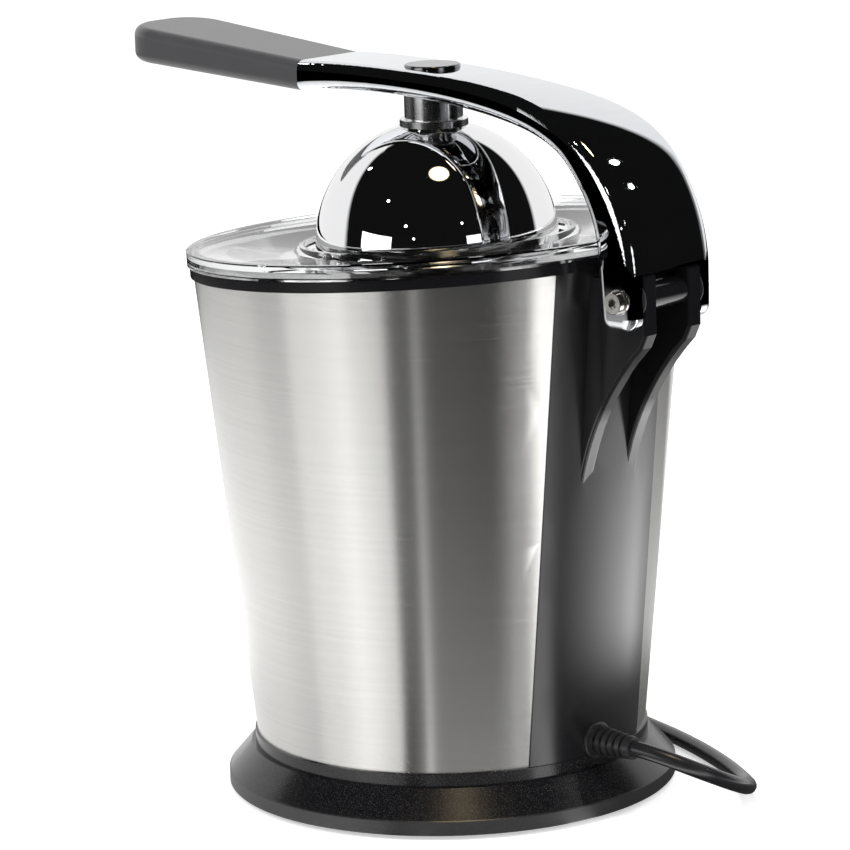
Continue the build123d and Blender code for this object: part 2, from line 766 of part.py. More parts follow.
def gearbox():
    """Gearbox pan and lid, the bushes of the shaft, the screws, and the frame that carries it all."""
    def outline(grow):
        places = [((0, 0), slow_gear_radius + slow_module + pan_clearance)]
        places += [((idler_x, idler_y), fast_gear_radius + fast_module + pan_clearance)]
        places += [((0, motor_y), fast_pinion_radius + fast_module + pan_clearance)]
        places += [(place, lug_radius - pan_wall) for place in lug_places]
        circles = [Pos(*place) * Circle(radius + grow) for place, radius in places]
        return make_hull(Sketch(children=circles).edges())

    lug_screw = screw_shank_radius
    pan = Pos(0, 0, pan_floor_z) * extrude(outline(pan_wall), amount=lid_z - pan_floor_z)
    hollow = Pos(0, 0, pan_floor_z + pan_floor) * extrude(outline(0), amount=lid_z)
    posts = [bar(post_radius, pan_floor_z, lid_z, x, y) for x, y in lug_places]
    pan = pan - hollow + posts
    bush = shaft_radius + bush_wall
    pan += bar(bush + bush_wall, pan_floor_z, pan_floor_z + pan_floor + bush_wall)
    pan -= bar(bush, pan_floor_z - overrun, pan_floor_z + overrun)
    pan -= bar(fast_pinion_radius, pan_floor_z - overrun, pan_floor_z + overrun, 0, motor_y)
    pan -= bar(idler_axle_radius, pan_floor_z - touch, pan_floor_z + overrun, idler_x, idler_y)
    pan -= [bar(lug_screw, 0, 2 * rim_z, x, y) for x, y in lug_places]
    pan &= cone_solid(-panel_thickness, body_foot_z, rim_z)
    save("gearbox_pan", pan)

    lid = Pos(0, 0, lid_z) * extrude(outline(pan_wall), amount=lid_thickness)
    wide = gear_sleeve_radius + bush_wall
    lid += bar(wide + bush_wall, lid_z, bowl_floor_z)
    lid -= bar(wide, lid_z - overrun, bowl_floor_z + overrun)
    lid -= bar(idler_axle_radius, 0, 2 * rim_z, idler_x, idler_y)
    lid -= [bar(lug_screw, 0, 2 * rim_z, x, y) for x, y in lug_places]
    save("gearbox_lid", lid)

    bore = shaft_radius + running_gap
    lower = pipe(bush, bore, pan_floor_z, pan_floor_z + pan_floor + bush_wall)
    upper = pipe(wide, gear_sleeve_radius + running_gap, lid_z, bowl_floor_z)
    save("shaft_bushes", Compound(children=[lower, upper]))

    head = screw_head_height
    top = lid_z + lid_thickness
    screws = [
        bar(screw_shank_radius, top - gearbox_screw_length, top, x, y) + bar(screw_head_radius, top, top + head, x, y)
        for x, y in lug_places
    ]
    save("gearbox_screws", Compound(children=screws))

    feet = make_hull(Sketch(children=[Pos(*place) * Circle(lug_radius) for place in lug_places]).edges())
    frame = Pos(0, 0, body_foot_z) * extrude(feet, amount=frame_plate)
    frame &= cone_solid(-panel_thickness, body_foot_z, rim_z)
    frame -= bar(frame_opening, 0, rim_z, 0, frame_opening)
    frame -= block(-clamp_width / 2 - gap, clamp_width / 2 + gap, clamp_y - 6 * gap, 2 * foot_radius, 0, rim_z)
    frame += [bar(post_radius, body_foot_z, pan_floor_z, x, y) for x, y in lug_places]
    save("inner_frame", frame)


def motor():
    """Motor can, stator, rotor on its shaft and the cooling fan."""
    can = bar(can_radius, can_foot_z, pan_floor_z) - bar(can_radius - can_wall, can_foot_z + can_wall, pan_floor_z - can_wall)
    bore = rotor_shaft_radius + running_gap
    can -= bar(bore, 0, 2 * rim_z)
    save("motor_can", Pos(0, motor_y, 0) * can)
    stator = pipe(can_radius - can_wall, stator_bore, stator_foot_z, stator_foot_z + stator_height)
    slot = Pos(stator_bore, 0, stator_foot_z + stator_height / 2)
    slot = slot * Box(2 * stator_slot_depth, stator_slot_width, 2 * stator_height)
    stator -= [Rot(0, 0, step * 360 / stator_slots) * slot for step in range(stator_slots)]
    save("stator", Pos(0, motor_y, 0) * stator)
    rotor = bar(rotor_radius, stator_foot_z, stator_foot_z + stator_height)
    rotor += bar(rotor_shaft_radius, rotor_foot_z, fast_gear_z + fast_gear_width + gap)
    save("rotor", Pos(0, motor_y, 0) * rotor)
    foot = rotor_foot_z + gap
    fan = bar(fan_hub_radius, foot, foot + fan_height) + bar(fan_radius, foot, foot + fan_disc)
    blade = Pos((fan_radius + fan_hub_radius / 2) / 2, 0, foot + fan_height / 2)
    blade = blade * Box(fan_radius - fan_hub_radius / 2 - fan_disc, fan_blade_thickness, fan_height)
    fan += [Rot(0, 0, step * 360 / fan_blades) * blade for step in range(fan_blades)]
    fan -= bar(rotor_shaft_radius, 0, rim_z)
    save("cooling_fan", Pos(0, motor_y, 0) * fan)


def arm_points(shares):
    """Outline points of the arm's side view from shares of its reach and rise."""
    return [(arm_seam_y + y * arm_reach, z * arm_rise) for y, z in shares]


def arm():
    """Chromed lever arm with its tongue, hinge well and legs."""
    top, under = arm_points(arm_top_shares), arm_points(arm_under_shares)
    bottom = hinge_z - leg_bottom_drop
    rear, front = top[-1][0], under[-1][0] + leg_front_lean
    outline = (
        Spline(*top)
        + Line(top[-1], (rear, bottom + leg_round))
        + RadiusArc((rear, bottom + leg_round), (rear - leg_round, bottom), leg_round)
        + Line((rear - leg_round, bottom), (front + leg_round, bottom))
        + RadiusArc((front + leg_round, bottom), (front, bottom + leg_round), leg_round)
        + Line((front, bottom + leg_round), under[-1])
        + Spline(*reversed(under))
        + Line(under[0], top[0])
    )
    side = side_plate(outline, -arm_hip_half, arm_hip_half)
    half = [
        (arm_seam_y, arm_seam_half), (arm_waist_y, arm_waist_half), (arm_swell_y, arm_swell_half), (arm_hip_y, arm_hip_half)
    ]
    right = Spline(*[(x, y) for y, x in half], tangents=[(0, 1), (0, 1)])
    left = Spline(*[(-x, y) for y, x in reversed(half)], tangents=[(0, -1), (0, -1)])
    back = rear + overrun
    plan = (
        right
        + Polyline((arm_hip_half, arm_hip_y), (arm_hip_half, back), (-arm_hip_half, back), (-arm_hip_half, arm_hip_y))
        + left
        + Line((-arm_seam_half, arm_seam_y), (arm_seam_half, arm_seam_y))
    )
    shell = side & extrude(make_face(plan), amount=2 * arm_rise)
    rims = shell.edges().filter_by(lambda e: abs(e.center().X) > arm_waist_half / 2 and e.center().Y > arm_seam_y + touch)
    return fillet(rims, arm_edge)


def swinging():
    """Lever arm, its grip and cap, the dome with its collar, and the hinge axle with the bolt that ties it."""
    shell = arm()
    y, z = hinge_y, hinge_z
    well = leg_inner_x
    back = arm_rear_y - arm_rear_wall
    roof = cross_bar(hinge_well_radius, -well, well, y, z) & block(-well, well, 0, back, 0, 2 * rim_z)
    shell -= roof
    shell -= block(-well, well, y - 2 * hinge_well_radius, y, 0, z + hinge_well_radius)
    shell -= block(-well, well, y - hinge_well_radius, y + 2 * hinge_well_radius, 0, z + rear_wall_lift)
    shell -= cross_bar(axle_radius, -2 * arm_hip_half, 2 * arm_hip_half, y, z)
    middle = (arm_rise * (arm_top_shares[0][1] + arm_under_shares[0][1])) / 2
    lean = Pos(0, arm_seam_y, middle) * Rot(-grip_tilt, 0, 0)

    def tongue(grow):
        half = tongue_width / 2 + grow
        thick = tongue_thickness / 2 + grow
        return lean * block(-half, half, -tongue_length - grow, tongue_margin, -thick, thick)

    shell += tongue(0)
    shell -= bar(cap_radius + gap / 3, cap_seat_z, 2 * arm_rise)
    shell -= bar(dome_screw_radius, 0, cap_seat_z - cap_height)
    save("arm_shell", shell)

    tip = arm_seam_y - grip_length
    rise = math.tan(math.radians(grip_tilt)) * grip_length
    low, high = middle - grip_seam_thickness / 2, middle + grip_seam_thickness / 2
    swell = (grip_end_thickness - grip_seam_thickness) / 2
    outline = Polyline((arm_seam_y, low), (arm_seam_y, high), (tip, high + rise + swell), (tip, low + rise - swell), close=True)
    slab = side_plate(outline, -arm_hip_half, arm_hip_half)
    wide = tip + grip_end_round
    half_turn = math.sin(math.radians(45))
    plan = (
        Polyline((arm_seam_half, arm_seam_y), (grip_end_half, wide))
        + ThreePointArc(
            (grip_end_half, wide), (grip_end_half - grip_end_round * (1 - half_turn), wide - grip_end_round * half_turn),
            (grip_end_half - grip_end_round, tip),
        )
        + Line((grip_end_half - grip_end_round, tip), (grip_end_round - grip_end_half, tip))
        + ThreePointArc(
            (grip_end_round - grip_end_half, tip),
            (grip_end_round * (1 - half_turn) - grip_end_half, wide - grip_end_round * half_turn),
            (-grip_end_half, wide),
        )
        + Polyline((-grip_end_half, wide), (-arm_seam_half, arm_seam_y))
        + Line((-arm_seam_half, arm_seam_y), (arm_seam_half, arm_seam_y))
    )
    grip = slab & extrude(make_face(plan), amount=2 * arm_rise)
    rims = grip.edges().filter_by(lambda e: e.center().Y < arm_seam_y - touch)
    rims = rims.filter_by(Axis.Z, reverse=True)
    grip = fillet(rims, grip_edge)
    save("arm_grip", grip - tongue(running_gap))

    cap = bar(cap_radius, cap_seat_z, cap_seat_z + cap_sink + cap_crown)
    save("arm_cap", fillet(cap.edges().group_by(Axis.Z)[-1], cap_crown / 2))

    socket = bar(collar_socket_radius, collar_nut_top_z, cap_seat_z - cap_height) - shell
    socket = socket.solids().sort_by(Axis.Z)[0]
    save("collar_socket", socket - bar(dome_screw_radius, 0, 2 * rim_z))
    sphere = Pos(0, 0, dome_z) * Sphere(dome_radius)
    nut = bar(collar_nut_radius, collar_nut_top_z - collar_nut_drop, collar_nut_top_z) - sphere
    nut = chamfer(nut.edges().group_by(Axis.Z)[-1], gap)
    save("collar_nut", nut - bar(dome_screw_radius, 0, 2 * rim_z))

    inner = dome_radius - dome_wall
    foot = dome_z - dome_skirt
    ring = dome_radius + dome_lip
    cup = sphere & block(-foot, foot, -foot, foot, dome_z, 2 * rim_z)
    cup += bar(dome_radius, foot, dome_z) + bar(ring, foot, foot + 2 * dome_lip)
    cup -= Pos(0, 0, dome_z) * Sphere(inner)
    cup -= bar(inner, foot - overrun, dome_z)
    save("press_dome", cup - bar(dome_screw_radius, 0, 2 * rim_z))
    head_top = dome_z + inner
    head = bar(dome_screw_head_radius, head_top - dome_screw_head_height, head_top) & (Pos(0, 0, dome_z) * Sphere(inner))
    stem = bar(dome_screw_radius, head_top - dome_screw_head_height, cap_seat_z - cap_height)
    slot = block(-dome_screw_radius, dome_screw_radius, -gap * 3, gap * 3, 0, head_top - dome_screw_head_height + 2 * gap)
    save("dome_screw", head + stem - slot)

    end = arm_hip_half
    hole = bolt_shank_depth
    drill = cross_bar(axle_hole_radius, end - hole, 2 * end, y, z)
    save("hinge_axle", cross_bar(axle_radius, -end, end, y, z) - drill)
    seat = end + washer_thickness
    face = seat + bolt_head_height
    bolt = cross_bar(bolt_head_radius, seat, face, y, z)
    bolt = chamfer(bolt.edges().filter_by(GeomType.CIRCLE).sort_by(Axis.X)[-1], gap)
    bolt += cross_bar(axle_hole_radius, end - hole, seat, y, z)
    socket = extrude(RegularPolygon(bolt_socket_radius, 6), amount=bolt_socket_depth * 2)
    save("hinge_bolts", bolt - Pos(face - bolt_socket_depth, y, z) * Rot(0, 90, 0) * socket)
    save("hinge_washers", cross_bar(washer_radius, end, seat, y, z) - cross_bar(axle_hole_radius, 0, 2 * end, y, z))


def hinge_seats():
    """Sleeve between the two fins and the flanged bushes in them, all on the axle's axis."""
    y, z = hinge_y, hinge_z
    bore = axle_radius + running_gap
    through = cross_bar(bore, -2 * arm_hip_half, 2 * arm_hip_half, y, z)
    save("hinge_sleeve", cross_bar(sleeve_radius, -fin_inner_x, fin_inner_x, y, z) - through)
    bushes = []
    for side in (1, -1):
        lo, hi = sorted((side * fin_inner_x, side * fin_outer_x))
        far = side * (fin_outer_x + bush_flange)
        flange_lo, flange_hi = sorted((side * fin_outer_x, far))
        bush = cross_bar(bush_radius, lo, hi, y, z) + cross_bar(bush_flange_radius, flange_lo, flange_hi, y, z)
        bushes.append(bush - through)
    save("ear_bushes", Compound(children=bushes))


def drip_stop():
    """Bracket round the juice spout and the small trough that tips up to stop the drip."""
    y, z = nose_pivot_y, nose_pivot_z
    half = nose_half_width
    ceiling = niche_top_z - niche_wall
    ring = bar(bracket_ring_radius, ceiling - bracket_ring_height, ceiling, 0, spout_y)
    outer = half + cheek_gap
    cheeks = []
    for x0 in (outer, -outer - cheek_thickness):
        cheeks.append(block(x0, x0 + cheek_thickness, y - cheek_half_depth, y + cheek_half_depth, z - cheek_drop, ceiling))
    bridge = block(-outer - cheek_thickness, outer + cheek_thickness, y - cheek_half_depth, y + cheek_half_depth,
                   ceiling - bracket_ring_height, ceiling)
    bracket = ring + bridge + cheeks
    bracket -= bar(spout_radius, 0, rim_z, 0, spout_y)
    bracket -= cross_bar(nose_pin_radius + running_gap, -2 * outer, 2 * outer, y, z)
    save("spout_bracket", bracket)
    low = -nose_floor_drop
    trough = block(-half, half, -nose_front, nose_back, low, nose_side_rise)
    trough -= block(nose_wall - half, half - nose_wall, -2 * nose_front, nose_back - nose_wall, low + nose_wall, overrun)
    reach = outer + cheek_thickness
    pins = cross_bar(nose_pin_radius, half - nose_wall, reach, 0, 0) + cross_bar(nose_pin_radius, -reach, nose_wall - half, 0, 0)
    trough = fillet(trough.edges().filter_by(Axis.X).group_by(Axis.Z)[0], nose_wall / 2)
    save("drip_spout", Pos(0, y, z) * Rot(nose_tilt, 0, 0) * (trough + pins))


def coil_spot(angle):
    """Centre of the coiled cord after an angle of winding: a flat spiral in, a climb, a spiral out on top."""
    middle = 360 * coil_turns_in
    radius = coil_inner_radius + coil_pitch * abs(angle - middle) / 360
    climb = min(max((angle - middle + 90) / 180, 0), 1)
    turn = math.radians(coil_start_angle + angle)
    return coil_x + radius * math.cos(turn), coil_y + radius * math.sin(turn), coil_z + coil_layer * climb


def coil_head(angle):
    """Direction of the coiled cord after an angle of winding."""
    middle = 360 * coil_turns_in
    last = 360 * (coil_turns_in + coil_turns_out)
    rate = 0 if abs(angle - middle) < 1 else math.copysign(coil_pitch / math.tau, angle - middle)
    climb = coil_layer / math.pi if abs(angle - middle) < 1 else 0
    radius = coil_inner_radius + coil_pitch * abs(angle - middle) / 360
    turn = math.radians(coil_start_angle + min(angle, last))
    return (
        rate * math.cos(turn) - radius * math.sin(turn), rate * math.sin(turn) + radius * math.cos(turn), climb
    )


def tube(points, radius, name):
    """Round cord through corner points, each corner eased by the largest arc its runs allow."""
    spots = [Vector(*point) for point in points]
    runs = [(b - a) for a, b in zip(spots, spots[1:])]
    radii = []
    for before, after in zip(runs, runs[1:]):
        turn = math.radians(before.get_angle(after))
        radii.append(bend_share * min(before.length, after.length) / math.tan(turn / 2))
    path = FilletPolyline(*spots, radius=radii)
    section = Plane(origin=spots[0], z_dir=runs[0]) * Circle(radius)
    solid = sweep(section, path=path)
    expected = math.pi * radius**2 * path.length
    print(name, "length", round(path.length, 1), "bends", [round(r, 1) for r in radii])
    print(name, "volume over section x length", round(solid.volume / expected, 4))
    return solid


def cord_set():
    """Boot, clamp, cord, its tied coil and its plug."""
    z = cord_z
    neck_y = boot_lock_y + boot_lock_length
    boot = along_y(boot_lock_radius, boot_lock_y, neck_y, z) + along_y(boot_neck_radius, neck_y, boot_foot_y, z)
    flange_y = boot_foot_y + boot_flange_length
    flange = along_y(boot_flange_radius, boot_foot_y, flange_y, z)
    boot += fillet(flange.edges().group_by(Axis.Y)[-1], gap * 2)
    taper = Pos(0, flange_y, z) * Rot(-90, 0, 0) * Cone(boot_root_radius, boot_tip_radius, boot_length, align=FLOOR)
    pitch = boot_length / (boot_rings + 1)
    for ring in range(boot_rings):
        start = flange_y + pitch * (ring + 1 - boot_groove_share)
        core = boot_root_radius - (boot_root_radius - boot_tip_radius) * (ring + 1) / (boot_rings + 1) - boot_groove
        wide = pitch * boot_groove_share
        taper -= along_y(2 * boot_root_radius, start, start + wide, z) - along_y(core, start - wide, start + 2 * wide, z)
        for x in (core, -core):
            taper += block(x - gap * 2, x + gap * 2, start - touch, start + wide + touch, z - gap * 3, z + gap * 3)
    boot += taper
    save("cord_boot", boot - along_y(cord_radius, 0, 2 * foot_radius, z))
    half = clamp_width / 2
    clamp = block(-half, half, clamp_y, clamp_y + clamp_length, body_foot_z, clamp_top_z)
    clamp = fillet(clamp.edges().filter_by(Axis.Y).group_by(Axis.Z)[-1], clamp_length / 4)
    save("cord_clamp", clamp - along_y(cord_radius, 0, 2 * foot_radius, z))

    start = Vector(*coil_spot(0))
    head = Vector(*coil_head(0)).normalized()
    begin = start - head * coil_end_run
    route = list(cord_route) + [begin - head * lead_run, begin]
    save("power_cord", tube(route, cord_radius, "power_cord"))
    print("cord points", [tuple(round(v, 3) for v in Vector(*p)) for p in route])

    last = 360 * (coil_turns_in + coil_turns_out)
    finish = Vector(*coil_spot(last))
    tail = Vector(*coil_head(last)).normalized()
    end = finish + tail * coil_end_run
    arcs = quarter_curve(coil_spot, coil_head, 0, last)
    path = Wire([Edge.make_line(begin, start)] + arcs + [Edge.make_line(finish, end)])
    coil = sweep(Plane(origin=begin, z_dir=head) * Circle(cord_radius), path=path)
    save("cord_coil", coil)
    print("cord_coil length", round(path.length, 1), "volume over section x length",
          round(coil.volume / (math.pi * cord_radius**2 * path.length), 4))
    samples = [path.position_at(share / 600) for share in range(601)]
    step = path.length / 600
    near = min(
        (a - b).length for i, a in enumerate(samples) for j, b in enumerate(samples)
        if (j - i) * step > 6 * cord_radius
    )
    print("cord_coil least self-gap", round(near - 2 * cord_radius, 2))

    flat = Vector(tail.X, tail.Y, 0).normalized()
    over = end + flat * tail_over_run
    down = over + flat * tail_down_run + Vector(0, 0, plug_z - over.Z)
    neck = down + flat * tail_flat_run
    save("cord_tail", tube([end, over, down, neck], cord_radius, "cord_tail"))

    frame = Plane(origin=(coil_x, coil_y, 0), x_dir=(1, 0, 0), z_dir=(0, 0, 1)).location
    top = coil_z + coil_layer + cord_radius + touch
    half = tie_width / 2
    outer = block(tie_inside - tie_thickness, tie_outside + tie_thickness, -half, half, 0, top + tie_thickness)
    outer = fillet(outer.edges().filter_by(Axis.Y).group_by(Axis.Z)[-1], tie_thickness)
    tie = outer - block(tie_inside, tie_outside, -tie_width, tie_width, tie_floor, top)
    save("cord_tie", frame * Rot(0, 0, tie_angle) * tie)

    facing = Plane(origin=neck, x_dir=(-flat.Y, flat.X, 0), z_dir=flat).location
    neck_part = Cone(plug_neck_radius, plug_neck_radius + plug_round / 2, plug_neck_length, align=FLOOR)
    neck_part &= Box(plug_thickness, plug_thickness, 2 * plug_neck_length)
    body = Pos(0, 0, plug_neck_length) * Box(2 * plug_half_width, plug_thickness, plug_length, align=FLOOR)
    body = fillet(body.edges().filter_by(Axis.Z), plug_round)
    body = fillet(body.edges().group_by(Axis.Z)[0], 3 * plug_round / 4)
    pins = []
    foot = plug_neck_length + plug_length
    for x in (plug_pin_spacing / 2, -plug_pin_spacing / 2):
        pin = Pos(x, 0, foot - plug_pin_seat)
        pin = pin * Cylinder(plug_pin_radius, plug_pin_length + plug_pin_seat, align=FLOOR)
        pins.append(fillet(pin.edges().group_by(Axis.Z)[-1], plug_pin_radius / 2))
    save("plug_body", facing * (body + neck_part - pins))
    save("plug_pins", facing * Compound(children=pins))


def all_parts():
    """Builds every sub-part."""
    base()
    shells()
    top_end()
    press_head()
    start_switch()
    return_spring()
    gear_train()
    gearbox()
    motor()
    swinging()
    hinge_seats()
    drip_stop()
    cord_set()


all_parts()
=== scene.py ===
import math

import bmesh
import bpy
from mathutils import Matrix, Vector


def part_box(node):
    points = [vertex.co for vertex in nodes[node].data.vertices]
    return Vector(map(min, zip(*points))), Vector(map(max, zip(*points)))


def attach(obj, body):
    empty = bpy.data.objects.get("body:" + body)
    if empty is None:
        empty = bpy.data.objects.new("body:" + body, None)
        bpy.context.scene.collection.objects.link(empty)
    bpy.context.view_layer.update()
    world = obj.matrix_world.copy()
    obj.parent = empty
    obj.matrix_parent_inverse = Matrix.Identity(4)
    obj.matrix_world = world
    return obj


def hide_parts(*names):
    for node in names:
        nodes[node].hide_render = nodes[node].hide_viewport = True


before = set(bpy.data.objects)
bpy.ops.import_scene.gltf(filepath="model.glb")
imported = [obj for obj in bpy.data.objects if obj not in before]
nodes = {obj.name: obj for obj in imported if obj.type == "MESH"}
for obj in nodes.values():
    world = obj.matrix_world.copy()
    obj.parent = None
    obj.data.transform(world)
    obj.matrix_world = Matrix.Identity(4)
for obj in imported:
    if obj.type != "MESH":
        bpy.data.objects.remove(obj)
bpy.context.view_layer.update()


# The table, the room and the camera.
# A pale tabletop with a white sweep behind it. Polished metal shows the sweep on the far side of the juicer
# and a dark studio on the near side, with two windows, a warm ceiling panel and a few small spots in it.
class Amount:
    """A number that a finish works out at each point. Sums with it add Math nodes."""

    def __init__(self, paint, socket):
        self.paint, self.socket = paint, socket

    def __add__(self, other):
        return self.paint.math("ADD", self, other)

    def __radd__(self, other):
        return self.paint.math("ADD", other, self)

    def __sub__(self, other):
        return self.paint.math("SUBTRACT", self, other)

    def __rsub__(self, other):
        return self.paint.math("SUBTRACT", other, self)

    def __mul__(self, other):
        return self.paint.math("MULTIPLY", self, other)

    def __rmul__(self, other):
        return self.paint.math("MULTIPLY", other, self)

    def __truediv__(self, other):
        return self.paint.math("DIVIDE", self, other)

    def __pow__(self, other):
        return self.paint.math("POWER", self, other)

    def __gt__(self, other):
        return self.paint.math("GREATER_THAN", self, other)

    def __lt__(self, other):
        return self.paint.math("LESS_THAN", self, other)

    def __abs__(self):
        return self.paint.math("ABSOLUTE", self)

    def largest(self, other):
        return self.paint.math("MAXIMUM", self, other)

    def rise(self, start, end):
        """0 below start, 1 above end and a straight ramp between them."""
        span = end - start
        return self.paint.math("MULTIPLY_ADD", self, 1 / span, -start / span, use_clamp=True)


class Paint:
    """The nodes of one finish."""

    def __init__(self, owner, end="Material"):
        owner.use_nodes = True
        self.tree = owner.node_tree
        self.tree.nodes.clear()
        self.end = self.make("Output" + end)

    def make(self, kind, put=None, stops=None, **settings):
        """Adds a node: its settings and ramp stops first, then the values or links of its sockets."""
        node = self.tree.nodes.new("ShaderNode" + kind)
        for name, value in settings.items():
            setattr(node, name, value)
        if stops:
            ramp = node.color_ramp
            while len(ramp.elements) < len(stops):
                ramp.elements.new(1.0)
            for element, (position, shade) in zip(ramp.elements, stops):
                element.position = position
                element.color = (shade, shade, shade, 1.0)
        for socket, value in (put or {}).items():
            self.feed(node.inputs[socket], value)
        return node

    def feed(self, socket, value):
        value = value.socket if isinstance(value, Amount) else value
        if isinstance(value, bpy.types.NodeSocket):
            self.tree.links.new(value, socket)
        elif isinstance(value, tuple) and socket.type == "RGBA":
            socket.default_value = (*value, 1.0)
        else:
            socket.default_value = value

    def show(self, shader):
        self.feed(self.end.inputs["Surface"], shader.outputs[0])

    def math(self, operation, *terms, **settings):
        """The result of a Math node on its terms, which are numbers or amounts."""
        node = self.make("Math", dict(enumerate(terms)), operation=operation, **settings)
        return Amount(self, node.outputs[0])

    def spot(self):
        return self.make("TexCoord").outputs["Object"]

    def along(self, axis):
        """One coordinate of a point on the piece, in metres."""
        return Amount(self, self.make("SeparateXYZ", {0: self.spot()}).outputs[axis])

    def away(self):
        """The distance of a point from the upright axis, in metres."""
        return (self.along(0) ** 2 + self.along(1) ** 2) ** 0.5

    def noise(self, scale, stretch=(1, 1, 1), detail=3.0, rough=0.5):
        """Soft noise from 0 to 1: that many features to the metre, times the stretch along each axis."""
        scales = tuple(scale * share for share in stretch)
        spot = self.make("Mapping", {"Vector": self.spot(), "Scale": scales}).outputs[0]
        cloud = self.make("TexNoise", {"Vector": spot, "Scale": 1.0, "Detail": detail, "Roughness": rough})
        return Amount(self, cloud.outputs["Fac"])

    def blend(self, share, low, high):
        """A colour between two. Sockets 0, 6 and 7 of a Mix node are its factor and its colours."""
        return self.make("Mix", {0: share, 6: low, 7: high}, data_type="RGBA").outputs[2]

    def bumped(self, height, depth, strength=1.0):
        """The normal of a surface whose height, from 0 to 1, stands for that depth in metres."""
        bump = self.make("Bump", {"Height": height, "Distance": depth, "Strength": strength})
        return bump.outputs["Normal"]

    def ray(self, kind):
        return Amount(self, self.make("LightPath").outputs[f"Is {kind} Ray"])


table_size = 6.0
table_white = (0.9, 0.9, 0.9)
table_glow = 0.5
camera_bearing, body_radius = 44.5, 0.1

# What the steel mirrors of the table is painted reflection. The table glows for glossy rays only, with a
# brightness by bearing in degrees for the whole sheet, for a painted pool of light and for the part close to
# the foot.
# Each fades out over its reach, in metres from the upright axis.
sheet_tones = (
    (-180, 0.1), (-174, 0.1), (-166, 0.9), (-150, 1.0), (-60, 0.9), (-37, 0.85), (-35, 0.95), (-20, 1.05),
    (-5, 1.4), (4, 1.35), (10, 1.15), (16, 1.0), (19, 0.12), (26, 0.08), (30, 0.14), (31, 0.5), (33, 0.5),
    (36, 0.1), (42, 0.05), (72, 0.05), (78, 0.09), (81, 0.25), (85, 0.25), (88, 0.12), (91, 2.4),
    (101.5, 2.6), (103, 0.02), (165, 0.1), (180, 0.1),
)
painted_pool_tones = ((-180, 0.6), (104, 0.0), (112, 0.8), (126, 1.7), (140, 2.6), (165, 3.2), (180, 0.6))
near_tones = ((-180, 0.0), (22, 0.0), (32, 0.32), (90, 0.32), (95, 0.0))
tone_limit = 4
sheet_reach, painted_pool_start, painted_pool_reach, near_reach = (0.95, 1.25), (0.2, 0.27), (0.35, 0.9), (0.14, 0.36)

table = bpy.data.objects.new("table_top", bpy.data.meshes.new("table_top"))
bpy.context.scene.collection.objects.link(table)
half = table_size / 2
corners = [(-half, -half, 0), (half, -half, 0), (half, half, 0), (-half, half, 0)]
table.data.from_pydata(corners, [], [(0, 1, 2, 3)])
pale = bpy.data.materials.new("pale_table")
paint = Paint(pale)
away = paint.away()
compass = paint.math("ARCTAN2", paint.along(1), paint.along(0))
aside = paint.math("SINE", compass / 2 - math.radians(camera_bearing / 2))
heading = (compass + aside * body_radius / away) / math.tau + 0.5
mirrored_table = 0.0
for tones, reach, start in (
    (sheet_tones, sheet_reach, 1.0),
    (painted_pool_tones, painted_pool_reach, away.rise(*painted_pool_start)),
    (near_tones, near_reach, 1.0),
):
    stops = [((degrees + 180) / 360, tone / tone_limit) for degrees, tone in tones]
    tone = Amount(paint, paint.make("ValToRGB", {0: heading}, stops=stops).outputs[0]) * tone_limit
    mirrored_table = tone * start * (1 - away.rise(*reach)) + mirrored_table
looked_at = paint.ray("Camera").largest(paint.ray("Transmission"))
matt = paint.make("BsdfDiffuse", {"Color": table_white}).outputs[0]
glow = paint.make("Emission", {"Strength": looked_at * table_glow}).outputs[0]
bare_table = paint.make("AddShader", {0: matt, 1: glow}).outputs[0]
# Glossy rays see this painted glow instead of the table's plain white, so the metal shows painted
# reflections.
shiny_table = paint.make("Emission", {"Strength": mirrored_table}).outputs[0]
paint.show(paint.make("MixShader", {0: paint.ray("Glossy"), 1: bare_table, 2: shiny_table}))
table.data.materials.append(pale)

# The room's lights are given by bearing and elevation in degrees. A window has its bearing, half its width,
# its lowest and highest elevation and its strength. The panel has two radii, between which it fades.
room_light = 0.62
dark_room = 0.006
sweep_bearing, sweep_edge, sweep_lean, sweep_soft = -130, 0.17, 0.85, 0.08
windows = ((-16, 16, -9, 11, 2.5), (81, 8.5, -3, 12, 1.6))
panel_bearing, panel_elevation, panel_radius, panel_core, panel_strength = 55, 75, 8.6, 5.5, 12.0
panel_warm = (1.0, 0.8, 0.5)
small_spots = (
    (-78, 41, 1.1), (-16, 40, 1.3), (13, 22, 1.2), (22, 11, 0.9),
    (70, 24, 0.9), (140, 52, 2.2), (128, 38, 1.4),
)
spot_strength = 14.0
white = (1.0, 1.0, 1.0)


def bearing(azimuth, elevation=0.0):
    """Unit vector towards a compass bearing and an elevation, in degrees."""
    flat = math.cos(math.radians(elevation))
    turn = math.radians(azimuth)
    return (flat * math.cos(turn), flat * math.sin(turn), math.sin(math.radians(elevation)))


room = bpy.data.worlds.new("room")
bpy.context.scene.world = room
paint = Paint(room, "World")
direction = paint.make("TexCoord").outputs["Generated"]


def towards(vector):
    """How far the seen direction points along a vector: 1 straight along it, 0 square to it."""
    product = paint.make("VectorMath", {0: direction, 1: vector}, operation="DOT_PRODUCT")
    return Amount(paint, product.outputs["Value"])


